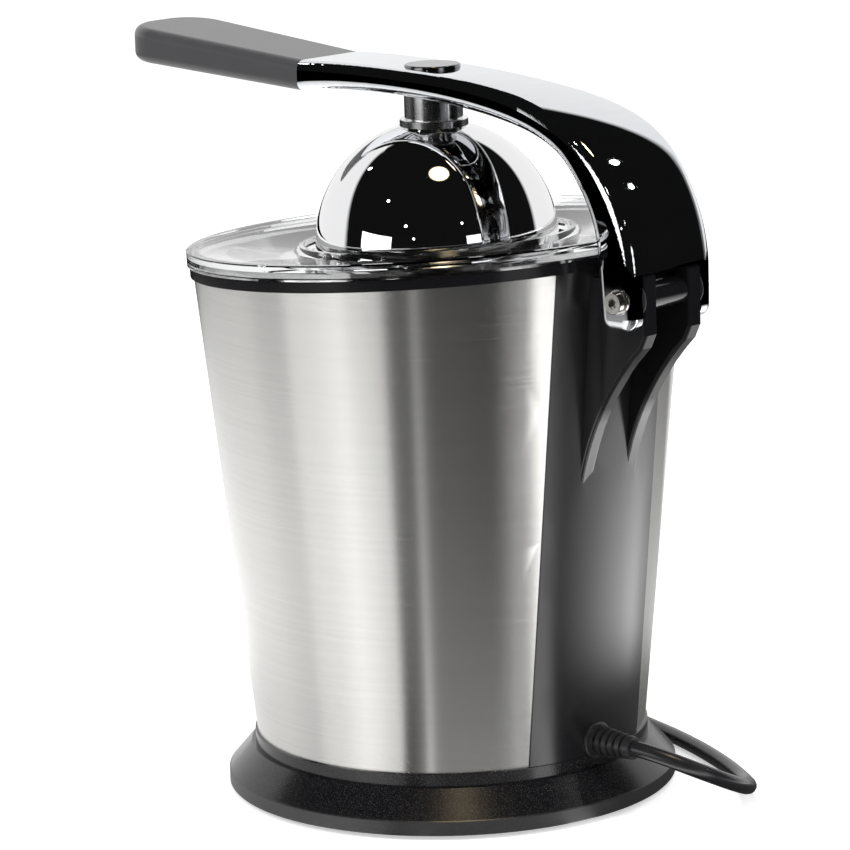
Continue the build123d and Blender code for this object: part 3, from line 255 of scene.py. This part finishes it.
upward = towards((0, 0, 1))
sweep = towards(bearing(sweep_bearing)) - upward * upward * sweep_lean
light = sweep.rise(sweep_edge, sweep_edge + sweep_soft).largest(dark_room)
for azimuth, half_width, low, high, strength in windows:
    across = abs(towards(bearing(azimuth + 90))) < math.sin(math.radians(half_width))
    above = upward > math.sin(math.radians(low))
    under = upward < math.sin(math.radians(high))
    light = light + across * above * under * (towards(bearing(azimuth)) > 0) * strength
for azimuth, elevation, radius in small_spots:
    light = light + (towards(bearing(azimuth, elevation)) > math.cos(math.radians(radius))) * spot_strength
panel = towards(bearing(panel_bearing, panel_elevation))
panel = panel.rise(math.cos(math.radians(panel_radius)), math.cos(math.radians(panel_core)))
panel = panel ** 2 * panel_strength
plain_light = paint.make("Background", {"Color": white, "Strength": light}).outputs[0]
warm_light = paint.make("Background", {"Color": panel_warm, "Strength": panel}).outputs[0]
mirrored_room = paint.make("AddShader", {0: plain_light, 1: warm_light}).outputs[0]
open_light = paint.make("Background", {"Color": white, "Strength": room_light}).outputs[0]
backdrop = paint.make("Background", {"Color": white, "Strength": 1.0}).outputs[0]
shiny = paint.ray("Glossy").largest(paint.ray("Transmission"))
inside = paint.make("MixShader", {0: shiny, 1: open_light, 2: mirrored_room}).outputs[0]
paint.show(paint.make("MixShader", {0: paint.ray("Camera"), 1: inside, 2: backdrop}))

# The lamps give soft light only, and no metal mirrors them. Places, widths and depths are in metres.
lamp_aim = Vector((0, 0, 0.15))
for name, place, width, depth, watts in (
    ("key_box", (1.5, -0.35, 1.35), 0.7, 0.9, 15),
    ("side_box", (-0.2, 1.7, 0.9), 0.5, 0.9, 9),
    ("top_box", (0.1, 0.2, 1.7), 0.6, 0.6, 8),
):
    lamp_data = bpy.data.lights.new(name, "AREA")
    lamp_data.shape, lamp_data.size, lamp_data.size_y, lamp_data.energy = "RECTANGLE", width, depth, watts
    lamp = bpy.data.objects.new(name, lamp_data)
    lamp.location = place
    lamp.rotation_euler = (lamp_aim - Vector(place)).to_track_quat("-Z", "Y").to_euler()
    lamp.visible_glossy = lamp.visible_transmission = False
    bpy.context.scene.collection.objects.link(lamp)

# The focal length and the photograph's width are in pixels, and the film's width is in millimetres.
camera_place = Vector((1.3552, 1.3317, 0.5661))
camera_heading, camera_dip, camera_roll = 134.7365, 12.047, -1.7264
focal_length, photo_width, film_width = 4397.31, 850, 36
farthest_seen = 30
lens_data = bpy.data.cameras.new("lens")
lens_data.lens = focal_length * film_width / photo_width
lens_data.sensor_width = film_width
lens_data.clip_end = farthest_seen
lens = bpy.data.objects.new("lens", lens_data)
turned = Matrix.Rotation(math.radians(camera_heading), 4, "Z")
dipped = Matrix.Rotation(math.radians(90 - camera_dip), 4, "X")
rolled = Matrix.Rotation(math.radians(camera_roll), 4, "Z")
lens.matrix_world = Matrix.Translation(camera_place) @ turned @ dipped @ rolled
bpy.context.scene.collection.objects.link(lens)
bpy.context.scene.camera = lens
bpy.context.scene.view_settings.view_transform = "Standard"


# The power lead.
# A round black rubber mains lead. It leaves the ribbed boot at the rear, drops to the table and runs round
# beside the foot, where its spare length is wound in a flat two-layer coil held by a strap, with the plug.
def finish(name, look=None, **sockets):
    """A finish from a Principled shader: plain values by socket, and a function that paints what varies."""
    stuff = bpy.data.materials.new(name)
    paint = Paint(stuff)
    values = {key.replace("_", " ").title().replace("Ior", "IOR"): value for key, value in sockets.items()}
    values.update(look(paint) if look else {})
    paint.show(paint.make("BsdfPrincipled", values))
    return stuff


def skin(paint, tint, tones, rough, grain, depth, strength=0.5):
    """What varies on most pieces: a colour between two tones by a tint, a roughness, and a grain's depth."""
    return {
        "Base Color": paint.blend(tint, *tones),
        "Roughness": rough,
        "Normal": paint.bumped(grain, depth, strength),
    }


def dress(stuff, *names):
    """Gives CAD pieces their finish."""
    for name in names:
        nodes[name].data.materials.clear()
        nodes[name].data.materials.append(stuff)


lead_tones = (0.012, 0.012, 0.013), (0.018, 0.018, 0.02)
boot_black, boot_dust = (0.02, 0.02, 0.021), (0.045, 0.045, 0.047)
tie_black = (0.02, 0.02, 0.021)
pin_tones = (0.56, 0.53, 0.46), (0.66, 0.63, 0.55)


def lead_look(paint):
    """Smooth extruded rubber, faintly clouded and very slightly uneven."""
    cloud, sheen, grain = paint.noise(30), paint.noise(120), paint.noise(900, (1, 1, 0.3), 2.0)
    return skin(paint, cloud, lead_tones, rough=0.22 + sheen * 0.14, grain=grain, depth=0.00004)


def boot_look(paint):
    """Moulded rubber with a fine grain and a little pale dust."""
    dust, grain = paint.noise(260, detail=4.0), paint.noise(2200)
    tones, rough = (boot_black, boot_dust), 0.28 + dust * 0.2
    return skin(paint, dust.rise(0.55, 0.9), tones, rough, grain, depth=0.00005, strength=0.6)


def tie_look(paint):
    """Moulded nylon with a fine grain."""
    return {"Roughness": 0.38 + paint.noise(500) * 0.12, "Normal": paint.bumped(paint.noise(1800), 0.00004)}


def pin_look(paint):
    """Nickel plate with fine strokes."""
    strokes = paint.noise(900, (1, 6, 6))
    return {"Base Color": paint.blend(paint.noise(700), *pin_tones), "Roughness": 0.24 + strokes * 0.14}


lead_rubber = finish("lead_rubber", lead_look, coat_weight=0.2, coat_roughness=0.2)
boot_rubber = finish("boot_rubber", boot_look)
tie_nylon = finish("tie_nylon", tie_look, base_color=tie_black)
pin_nickel = finish("pin_nickel", pin_look, metallic=1.0)

# The route is in millimetres, from the boot's mouth to the coil, round the coil and on to the plug.
lead_width = 0.007
route = [
    (0, 108, 32), (0, 118, 32), (-8, 136, 26), (-26, 143, 16.5), (-46, 136, 8.5), (-63, 119, 4),
    (-77, 97, 3.5), (-89, 72, 3.5), (-99, 46, 3.5), (-107, 18, 3.5), (-117, -10, 3.5), (-135, -39, 3.5),
    (-161.17, -75.01, 4.4), (-160.38, -105, 4.4),
]
coil_x, coil_y, coil_z, coil_inner, coil_pitch = -114, -112, 4.4, 29.1, 7.6
turns_in, turns_out, points_per_turn = 2.25, 1.625, 16
tail_steps = ((7, 0), (39, 0), (69, -4.4), (91, -4.4))
for point in range(round((turns_in + turns_out) * points_per_turn) + 1):
    wound = point / points_per_turn - turns_in
    radius = coil_inner + coil_pitch * abs(wound)
    angle = math.pi + math.tau * (wound + turns_in)
    climb = min(max(wound * 2 + 0.5, 0), 1)
    x, y = coil_x + radius * math.cos(angle), coil_y + radius * math.sin(angle)
    route.append((x, y, coil_z + coil_pitch * climb))
coil_end = Vector(route[-1])
outward = Vector((math.cos(angle), math.sin(angle), 0))
onward = Vector((-math.sin(angle), math.cos(angle), 0))
tail_way = (onward + outward * (coil_pitch / math.tau / radius)).normalized()
for reach, lift in tail_steps:
    route.append(tuple(coil_end + tail_way * reach + Vector((0, 0, lift))))

curve = bpy.data.curves.new("mains_lead", "CURVE")
curve.dimensions = "3D"
curve.bevel_depth = lead_width / 2
curve.bevel_resolution = 5
curve.resolution_u = 6
line = curve.splines.new("NURBS")
line.points.add(len(route) - 1)
for point, (x, y, z) in zip(line.points, route):
    point.co = (x / 1000, y / 1000, z / 1000, 1)
line.order_u = 3
line.use_endpoint_u = True
curve.materials.append(lead_rubber)
lead = bpy.data.objects.new("mains_lead", curve)
bpy.context.scene.collection.objects.link(lead)
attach(lead, "housing")
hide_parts("power_cord", "cord_coil", "cord_tail")
dress(boot_rubber, "cord_boot")
dress(lead_rubber, "plug_body")
dress(tie_nylon, "cord_tie", "cord_clamp")
dress(pin_nickel, "plug_pins")


# The rubber feet.
# Four round feet of soft black rubber, pressed into the bottom plate. Each has three grip grooves in its
# sole.
def spun(outline, steps):
    """A shape spun about its own upright axis from (radius, height) points."""
    form = bmesh.new()
    points = [form.verts.new((radius, 0, height)) for radius, height in outline]
    edges = [form.edges.new(pair) for pair in zip(points, points[1:])]
    bmesh.ops.spin(
        form, geom=points + edges, axis=(0, 0, 1), cent=(0, 0, 0),
        steps=steps, angle=math.tau, use_duplicate=False,
    )
    bmesh.ops.remove_doubles(form, verts=form.verts, dist=1e-7)
    return form


def meshed(form, name):
    """The shape as a mesh whose faces point outwards."""
    bmesh.ops.recalc_face_normals(form, faces=form.faces)
    mesh = bpy.data.meshes.new(name)
    form.to_mesh(mesh)
    form.free()
    return mesh


class Pattern:
    """A Geometry Nodes tree that repeats one shape, with its sizes as named inputs."""

    sharp_edge = math.radians(32)

    def __init__(self, name, **sizes):
        self.tree = bpy.data.node_groups.new(name, "GeometryNodeTree")
        self.sizes = sizes
        face = self.tree.interface
        face.new_socket("Geometry", in_out="INPUT", socket_type="NodeSocketGeometry")
        face.new_socket("Geometry", in_out="OUTPUT", socket_type="NodeSocketGeometry")
        for size, value in sizes.items():
            kind = {int: "NodeSocketInt", float: "NodeSocketFloat"}.get(type(value), "NodeSocketMaterial")
            face.new_socket(size, in_out="INPUT", socket_type=kind)
        self.start, self.end = self.tree.nodes.new("NodeGroupInput"), self.tree.nodes.new("NodeGroupOutput")

    def make(self, kind, put=None, **settings):
        """Adds a node: its settings first, then the values or links of its sockets."""
        node = self.tree.nodes.new(kind)
        for name, value in settings.items():
            setattr(node, name, value)
        for socket, value in (put or {}).items():
            if isinstance(value, bpy.types.NodeSocket):
                self.tree.links.new(value, node.inputs[socket])
            else:
                node.inputs[socket].default_value = value
        return node

    def finished(self, seed_mesh, body, slot, *replaced):
        """The repeated shape as a plain mesh piece that rides on its body."""
        piece = bpy.data.objects.new(self.tree.name, seed_mesh)
        bpy.context.scene.collection.objects.link(piece)
        modifier = piece.modifiers.new("pattern", "NODES")
        modifier.node_group = self.tree
        for item in self.tree.interface.items_tree:
            if item.in_out == "INPUT" and item.name in self.sizes:
                modifier[item.identifier] = self.sizes[item.name]
        ready = piece.evaluated_get(bpy.context.evaluated_depsgraph_get())
        mesh = bpy.data.meshes.new_from_object(ready)
        piece.modifiers.remove(modifier)
        piece.data = mesh
        mesh.shade_smooth()
        mesh.set_sharp_from_angle(angle=self.sharp_edge)
        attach(piece, body)
        if replaced:
            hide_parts(*replaced)
        return piece


def ring_pattern(name, count, radius, height, turn, stuff):
    """A pattern of equal pieces round the upright axis, each turned to face outwards."""
    pattern = Pattern(name, Count=count, Radius=radius, Height=height, Turn=turn, Finish=stuff)
    sizes = pattern.start.outputs
    circle = pattern.make("GeometryNodeMeshCircle", {"Vertices": sizes["Count"], "Radius": sizes["Radius"]})
    index = pattern.make("GeometryNodeInputIndex").outputs[0]
    share = pattern.make("ShaderNodeMath", {0: index, 1: sizes["Count"]}, operation="DIVIDE").outputs[0]
    facing = pattern.make("ShaderNodeMath", {0: share, 1: math.tau}, operation="MULTIPLY").outputs[0]
    spin = pattern.make("ShaderNodeCombineXYZ", {2: facing}).outputs[0]
    placed = pattern.make(
        "GeometryNodeInstanceOnPoints",
        {"Points": circle.outputs[0], "Instance": sizes["Geometry"], "Rotation": spin},
    )
    lift = pattern.make("ShaderNodeCombineXYZ", {2: sizes["Height"]}).outputs[0]
    start = pattern.make("ShaderNodeCombineXYZ", {2: sizes["Turn"]}).outputs[0]
    moved = pattern.make(
        "GeometryNodeTransform", {"Geometry": placed.outputs[0], "Translation": lift, "Rotation": start}
    )
    real = pattern.make("GeometryNodeRealizeInstances", {0: moved.outputs[0]})
    painted = pattern.make(
        "GeometryNodeSetMaterial", {"Geometry": real.outputs[0], "Material": sizes["Finish"]}
    )
    pattern.tree.links.new(painted.outputs[0], pattern.end.inputs[0])
    return pattern


foot_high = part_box("rubber_feet")[1]
foot_count, foot_radius, foot_height, foot_round = 4, 0.008, foot_high.z, 0.0006
foot_ring = (foot_high.x - foot_radius) * math.sqrt(2)
groove_places, groove_width, groove_slope, groove_depth = (0.0025, 0.0042, 0.0059), 0.0009, 0.0002, 0.0005
sole_height = 0.0001
foot_steps = 48
foot_black, foot_dust = (0.022, 0.022, 0.022), (0.09, 0.088, 0.085)
foot_outline = [(0, 0)]
for inner in groove_places:
    outer = inner + groove_width
    foot_outline += [
        (inner, 0), (inner + groove_slope, groove_depth), (outer - groove_slope, groove_depth), (outer, 0),
    ]
foot_outline += [
    (foot_radius - foot_round, 0), (foot_radius, foot_round), (foot_radius, foot_height), (0, foot_height),
]


def foot_look(paint):
    """Soft rubber with a little grey dust worn into the sole."""
    dust, grain = paint.noise(420, detail=4.0), paint.noise(2600)
    dusty = dust * (1 - paint.along(2).rise(sole_height, foot_round))
    tones = foot_black, foot_dust
    return skin(paint, dusty, tones, rough=0.62 + dust * 0.2, grain=grain, depth=0.00006, strength=0.6)


foot_rubber = finish("foot_rubber", foot_look)
feet = ring_pattern("grip_feet", foot_count, foot_ring, 0.0, math.pi / 4, foot_rubber)
foot_seed = meshed(spun(foot_outline, foot_steps), "foot_seed")
feet.finished(foot_seed, "housing", "foot_rubber", "rubber_feet")


# The bottom plate and its screws.
# A plain black moulded plate that closes the foot, held up by four zinc-plated pan screws with a cross
# recess.
def grained_black(name, shade, rough):
    """A black moulding with an eroded mould grain and faint flow marks."""
    tones = (shade * 0.85,) * 3, (shade * 1.2, shade * 1.2, shade * 1.26)

    def look(paint):
        flow, grain = paint.noise(9), paint.noise(1500, detail=2.0)
        return skin(paint, flow, tones, rough=rough + grain * 0.14, grain=grain, depth=0.00007)

    return finish(name, look)


zinc_blue, zinc_yellow = (0.52, 0.53, 0.55), (0.62, 0.61, 0.57)


def zinc_look(paint):
    """Zinc plating: blue-grey with a faint yellow bloom and fine wear."""
    bloom, wear = paint.noise(150), paint.noise(1600, detail=2.0)
    tones = zinc_blue, zinc_yellow
    return skin(paint, bloom, tones, rough=0.28 + wear * 0.2, grain=wear, depth=0.00002)


plate_black = grained_black("plate_black", 0.026, 0.44)
dress(plate_black, "base_plate")
zinc = finish("zinc_plate", zinc_look, metallic=1.0)

screw_low, screw_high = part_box("base_screws")
screw_count, screw_ring, screw_thread = 4, 0.080, 0.0007
screw_head, screw_sink, screw_shank = 0.0032, 0.0012, 0.00148
screw_steps = 24
head_shares = ((0.62, 0), (0.9, 0.18), (1, 0.5), (1, 1))
thread_root_share = 0.86
recess_length_share, recess_width_share, recess_foot_share, recess_depth_share = 0.5, 0.13, 0.6, 0.8
screw_length = screw_high.z - screw_low.z
screw_root = screw_shank * thread_root_share
screw_outline = [(screw_head * out, screw_sink * up) for out, up in head_shares]
for ring in range(int((screw_length - screw_sink) / screw_thread) - 1):
    ring_foot = screw_sink + ring * screw_thread
    screw_outline += [(screw_root, ring_foot), (screw_shank, ring_foot + screw_thread / 2)]
screw_outline += [(screw_root, screw_length - screw_thread), (0, screw_length)]

# The open top of the head is filled round a cross, which is then drawn down and closed with a smaller floor.
screw = spun(screw_outline, screw_steps)
rim = [edge for edge in screw.edges if edge.is_boundary]
recess_end, recess_side = screw_head * recess_length_share, screw_head * recess_width_share
cross = []
for quarter in range(4):
    turned = Matrix.Rotation(quarter * math.pi / 2, 4, "Z")
    for x, y in ((recess_end, -recess_side), (recess_end, recess_side), (recess_side, recess_side)):
        cross.append(screw.verts.new(turned @ Vector((x, y, 0))))
mouth = [screw.edges.new(pair) for pair in zip(cross, cross[1:] + cross[:1])]
bmesh.ops.triangle_fill(screw, edges=rim + mouth, use_beauty=True)
for face in [f for f in screw.faces if all(v in cross for v in f.verts)]:
    screw.faces.remove(face)
sunk = bmesh.ops.extrude_edge_only(screw, edges=mouth)["geom"]
for vert in [v for v in sunk if isinstance(v, bmesh.types.BMVert)]:
    vert.co *= recess_foot_share
    vert.co.z = screw_sink * recess_depth_share
bmesh.ops.contextual_create(screw, geom=[e for e in sunk if isinstance(e, bmesh.types.BMEdge)])
base_screws = ring_pattern("cross_screws", screw_count, screw_ring, screw_low.z, 0.0, zinc)
base_screws.finished(meshed(screw, "base_screw_seed"), "housing", "zinc_steel", "base_screws")


# The flared foot.
# A black plastic moulding with fine metal flake in it. Its low edge band is blasted satin, and the slope
# above is polished.
edge_band = (0.0078, 0.0090)
band_black, slope_black, flake_bright = (0.03, 0.03, 0.031), (0.006, 0.006, 0.007), (0.16, 0.155, 0.145)
flake_size, flakes_from = 0.00022, 0.9


def flaked_look(paint):
    """One in ten of a grid of tiny cells is a flake, brighter on the polished slope."""
    cell = paint.make("VectorMath", {0: paint.spot(), "Scale": 1 / flake_size}, operation="SCALE").outputs[0]
    cell = paint.make("VectorMath", {0: cell}, operation="FLOOR").outputs[0]
    lit = Amount(paint, paint.make("TexWhiteNoise", {"Vector": cell}).outputs["Value"]) > flakes_from
    slope = paint.along(2).rise(*edge_band)
    sparkle = lit * (0.2 + slope * 0.1)
    grain = paint.noise(1900, detail=2.0)
    tones = paint.blend(slope, band_black, slope_black), flake_bright
    rough = 0.4 - slope * 0.24 + grain * 0.08
    looks = skin(paint, sparkle, tones, rough, grain, depth=0.00004, strength=0.35)
    looks["Metallic"] = sparkle * 0.8
    return looks


flaked_black = finish("flaked_black", flaked_look)
dress(flaked_black, "base_cover")


# The steel wrap.
# A 0.8 mm stainless sheet rolled round the body and brushed level, so light spreads up and down it in tall
# streaks.
wrap_tones = (0.56, 0.552, 0.535), (0.74, 0.735, 0.715)


def wrap_look(paint):
    """Fine brushed hairs, longer strokes among them, and a faint cloudiness."""
    hairs = paint.noise(1, (16, 16, 6500), 2.0, 0.6)
    strokes = paint.noise(1, (5, 5, 900), 3.0)
    cloud = paint.noise(9, (1, 1, 0.4))
    tint, grain = hairs * 0.6 + strokes * 0.34 + cloud * 0.06, hairs + strokes * 0.2
    return skin(paint, tint, wrap_tones, rough=0.2 + hairs * 0.1, grain=grain, depth=0.00003, strength=0.3)


wrap_steel = finish(
    "brushed_wrap_steel", wrap_look, metallic=1.0, anisotropic=0.95, anisotropic_rotation=0.25
)
dress(wrap_steel, "steel_wrap")


# The rear panel and the top ring.
# Gloss black mouldings. The panel carries the two hinge fins and fills the gap in the wrap, and the ring caps
# both. The sleeve round the axle is of the same plastic.
ring_black, ring_dust = (0.007, 0.007, 0.008), (0.016, 0.016, 0.017)
panel_tones = (0.006, 0.006, 0.007), (0.01, 0.01, 0.011)
panel_end, fins_start = 0.108, 0.112


def gloss_look(paint):
    """Gloss plastic, slightly rippled, with specks of dust."""
    ripple, dust = paint.noise(22), paint.noise(2400, detail=1.0).rise(0.66, 0.8)
    tones = ring_black, ring_dust
    return skin(paint, dust, tones, rough=0.12 + ripple * 0.1, grain=ripple, depth=0.0003, strength=0.2)


def panel_look(paint):
    """The panel's skin is a little duller than its fins."""
    ripple, grain = paint.noise(16), paint.noise(1700, detail=2.0)
    fins = paint.along(1).rise(panel_end, fins_start)
    rough = 0.2 - fins * 0.12 + grain * 0.05
    looks = skin(paint, ripple, panel_tones, rough, grain, depth=0.00004, strength=0.4)
    looks["Coat Weight"] = 1 - fins
    return looks


gloss_black = finish("gloss_black", gloss_look)
dress(gloss_black, "top_ring", "hinge_sleeve")
panel_black = finish("panel_black", panel_look, specular_ior_level=0.15, coat_roughness=0.22)
dress(panel_black, "rear_panel")


# The glass niche and the inner frame.
# Satin black mouldings inside the wrap: the niche that a glass stands in, the bracket over it that holds the
# spout, and the frame that the works sit on.
niche_black = grained_black("niche_black", 0.03, 0.38)
dress(niche_black, "niche_liner", "spout_bracket")
frame_black = grained_black("frame_black", 0.036, 0.5)
dress(frame_black, "inner_frame")


# The motor.
# A deep-drawn steel can round a ring of laminated iron. The rotor, its brass pinion and a nylon fan turn on
# one shaft.
sheets_per_metre = 2000
iron_edge, iron_varnish = (0.2, 0.19, 0.185), (0.07, 0.065, 0.062)
brass_tones = (0.6, 0.43, 0.18), (0.76, 0.58, 0.28)


def laminated_look(paint):
    """Thin iron sheets stacked flat, with bright cut edges and dark varnish between them."""
    seam = paint.math("FRACT", paint.along(2) * sheets_per_metre).rise(0.7, 0.95)
    tones, rough = (iron_edge, iron_varnish), 0.42 + paint.noise(240) * 0.2
    return skin(paint, seam, tones, rough, grain=1 - seam, depth=0.0001, strength=0.6)


def brass_look(paint):
    """Brass with the fine rings of the lathe."""
    rings = paint.noise(1, (300, 300, 5200), 2.0)
    return skin(paint, rings, brass_tones, rough=0.22 + rings * 0.16, grain=rings, depth=0.00003)


dress(zinc, "motor_can", "switch_bracket")
iron = finish("core_sheets", laminated_look, metallic=0.85)
dress(iron, "stator", "rotor")
brass = finish("turned_brass", brass_look, metallic=1.0)
dress(brass, "motor_pinion", "shaft_bushes")


# The gear train.
# Natural nylon gears in a black gearbox. The double idler turns on a fixed steel axle, and the big gear's
# sleeve drives the reamer's shaft on its spring. The box is closed with four zinc-plated screws.
nylon_tones, nylon_glow = ((0.74, 0.71, 0.62), (0.82, 0.8, 0.73)), (0.002, 0.0016, 0.0012)
wire_tones = (0.42, 0.42, 0.43), (0.58, 0.58, 0.58)


def nylon_look(paint):
    """Milky nylon with a fine grain."""
    cloud, grain = paint.noise(60), paint.noise(1500, detail=2.0)
    return skin(paint, cloud, nylon_tones, rough=0.36 + grain * 0.12, grain=grain, depth=0.00003)


def wire_look(paint):
    """Drawn spring steel."""
    drawn = paint.noise(1500, (1, 1, 3), 2.0)
    return skin(paint, drawn, wire_tones, rough=0.25 + drawn * 0.16, grain=drawn, depth=0.00002)


nylon = finish("natural_nylon", nylon_look, subsurface_weight=0.08, subsurface_radius=nylon_glow)
dress(nylon, "idler_gear", "output_gear", "cooling_fan", "switch_plunger")
box_black = grained_black("box_black", 0.04, 0.42)
dress(box_black, "gearbox_pan", "gearbox_lid", "start_switch", "ear_bushes")
dress(zinc, "gearbox_screws", "idler_axle")
spring_steel = finish("spring_steel", wire_look, metallic=1.0)
dress(spring_steel, "return_spring")


# The juice bowl, its spout and the drip stop.
# Pressed stainless steel, polished, with a rubber seal round the shaft. The little trough under the spout
# tips up by hand to stop the drip.
polished_tones = (0.66, 0.655, 0.645), (0.74, 0.735, 0.725)


def polished_look(paint):
    """Polished stainless steel with the faint swirl of the polishing mop."""
    swirl, haze = paint.noise(1, (90, 90, 900), 2.0), paint.noise(26)
    rough = 0.07 + swirl * 0.06 + haze * 0.03
    return skin(paint, haze, polished_tones, rough, grain=swirl, depth=0.00001, strength=0.1)


polished = finish("polished_steel", polished_look, metallic=1.0)
dress(polished, "juice_bowl", "juice_spout", "drip_spout", "drive_shaft")
dress(foot_rubber, "shaft_seal")


# The strainer and the reamer.
# A pressed steel strainer with radial slots, and the ribbed steel cone that turns in the fruit.
reamer_tones = (0.68, 0.675, 0.665), (0.76, 0.755, 0.745)
satin_start, satin_full = 0.01, 0.04


def reamer_look(paint):
    """Bright at the cone's tip, with a softer satin towards its foot."""
    haze, grain = paint.noise(40), paint.noise(700, detail=2.0)
    rough = 0.1 + paint.away().rise(satin_start, satin_full) * 0.08 + haze * 0.06
    return skin(paint, haze, reamer_tones, rough, grain, depth=0.00001, strength=0.4)


reamer_steel = finish("reamer_steel", reamer_look, metallic=1.0)
dress(reamer_steel, "reamer_cone")
dress(polished, "strainer")


# The clear cover.
# A clear plastic lid, injection moulded and polished, that keeps the splashes in. It lifts off by hand.
cover_tint = (0.99, 0.995, 1.0)


def clear_look(paint):
    """Faint flow marks in a polished face."""
    flow = paint.noise(14, (1, 1, 3))
    return {"Roughness": flow * 0.006, "Normal": paint.bumped(flow, 0.0001, 0.1)}


clear_plastic = finish("clear_plastic", clear_look, base_color=cover_tint, transmission_weight=1.0, ior=1.3)
dress(clear_plastic, "splash_cover")


# The hinge.
# A zinc-plated steel axle through the arm's legs and the fins, with a nickel-plated socket bolt and washer on
# its end.
nickel_tones = (0.66, 0.64, 0.6), (0.82, 0.8, 0.76)


def nickel_look(paint):
    """Nickel plate, lightly worn."""
    worn = paint.noise(600)
    return skin(paint, worn, nickel_tones, rough=0.16 + worn * 0.12, grain=worn, depth=0.00001, strength=0.3)


nickel = finish("nickel_plate", nickel_look, metallic=1.0)
dress(zinc, "hinge_axle")
dress(nickel, "hinge_bolts", "hinge_washers")


# The lever arm and the pressing dome.
# A zinc casting, polished and chromed, with a chromed steel dome screwed under it through a collar. A thin
# disc hides the screw on top.
arm_crown, crown_shift, crown_start, crown_end = 4.2, 0.008, 0.02, 0.07
arm_tones = (0.7, 0.715, 0.74), (0.78, 0.795, 0.815)
collar_grey, cap_grey = (0.78, 0.78, 0.78), (0.2, 0.2, 0.205)
dome_bright, dome_dust = (0.83, 0.83, 0.84), (0.7, 0.7, 0.7)


def arm_look(paint):
    """Chrome with a trace of wiping marks. The arm's back is crowned from side to side towards its bend."""
    wipe = paint.noise(1, (60, 260, 60))
    crown = (paint.along(0) + crown_shift) ** 2 * -arm_crown * paint.along(1).rise(crown_start, crown_end)
    rough = 0.02 + wipe.rise(0.5, 0.8) * 0.03
    return skin(paint, wipe, arm_tones, rough, grain=crown, depth=1.0, strength=1.0)


def satin_chrome(name, shade, strokes):
    """Duller chrome with fine strokes in it, so many to the metre along each axis."""

    def look(paint):
        return {"Roughness": 0.12 + paint.noise(1, strokes) * 0.12}

    return finish(name, look, base_color=shade, metallic=1.0)


def dome_look(paint):
    """Spun steel under the chrome: very slight rings round the dome's axis, and a few specks of dust."""
    rings, dust = paint.noise(1, (4, 4, 420), 1.0), paint.noise(1900, detail=1.0).rise(0.74, 0.8)
    tones = dome_bright, dome_dust
    return skin(paint, dust, tones, rough=0.02 + dust * 0.12, grain=rings, depth=0.00001, strength=0.15)


arm_chrome = finish("arm_chrome", arm_look, metallic=1.0)
dress(arm_chrome, "arm_shell")
collar_chrome = satin_chrome("collar_chrome", collar_grey, (200, 200, 2400))
dress(collar_chrome, "collar_nut", "collar_socket")
cap_chrome = satin_chrome("cap_chrome", cap_grey, (900, 30, 30))
dress(cap_chrome, "arm_cap")
dome_chrome = finish("dome_chrome", dome_look, metallic=1.0)
dress(dome_chrome, "press_dome")
dress(zinc, "dome_screw")


# The hand grip.
# Soft-touch rubber moulded over the arm's tongue: an even dark grey with a fine pebble and faint wear.
grip_tones = (0.046, 0.046, 0.049), (0.06, 0.06, 0.063)


def grip_look(paint):
    """A fine pebble, slightly paler where hands have worn it."""
    wear, pebble = paint.noise(24), paint.noise(2300, detail=2.0)
    return skin(paint, wear, grip_tones, rough=0.3 + pebble * 0.14, grain=pebble, depth=0.00004, strength=0.4)


grip_rubber = finish("grip_rubber", grip_look, ior=1.6, sheen_weight=0.35, sheen_roughness=0.3)
dress(grip_rubber, "arm_grip")
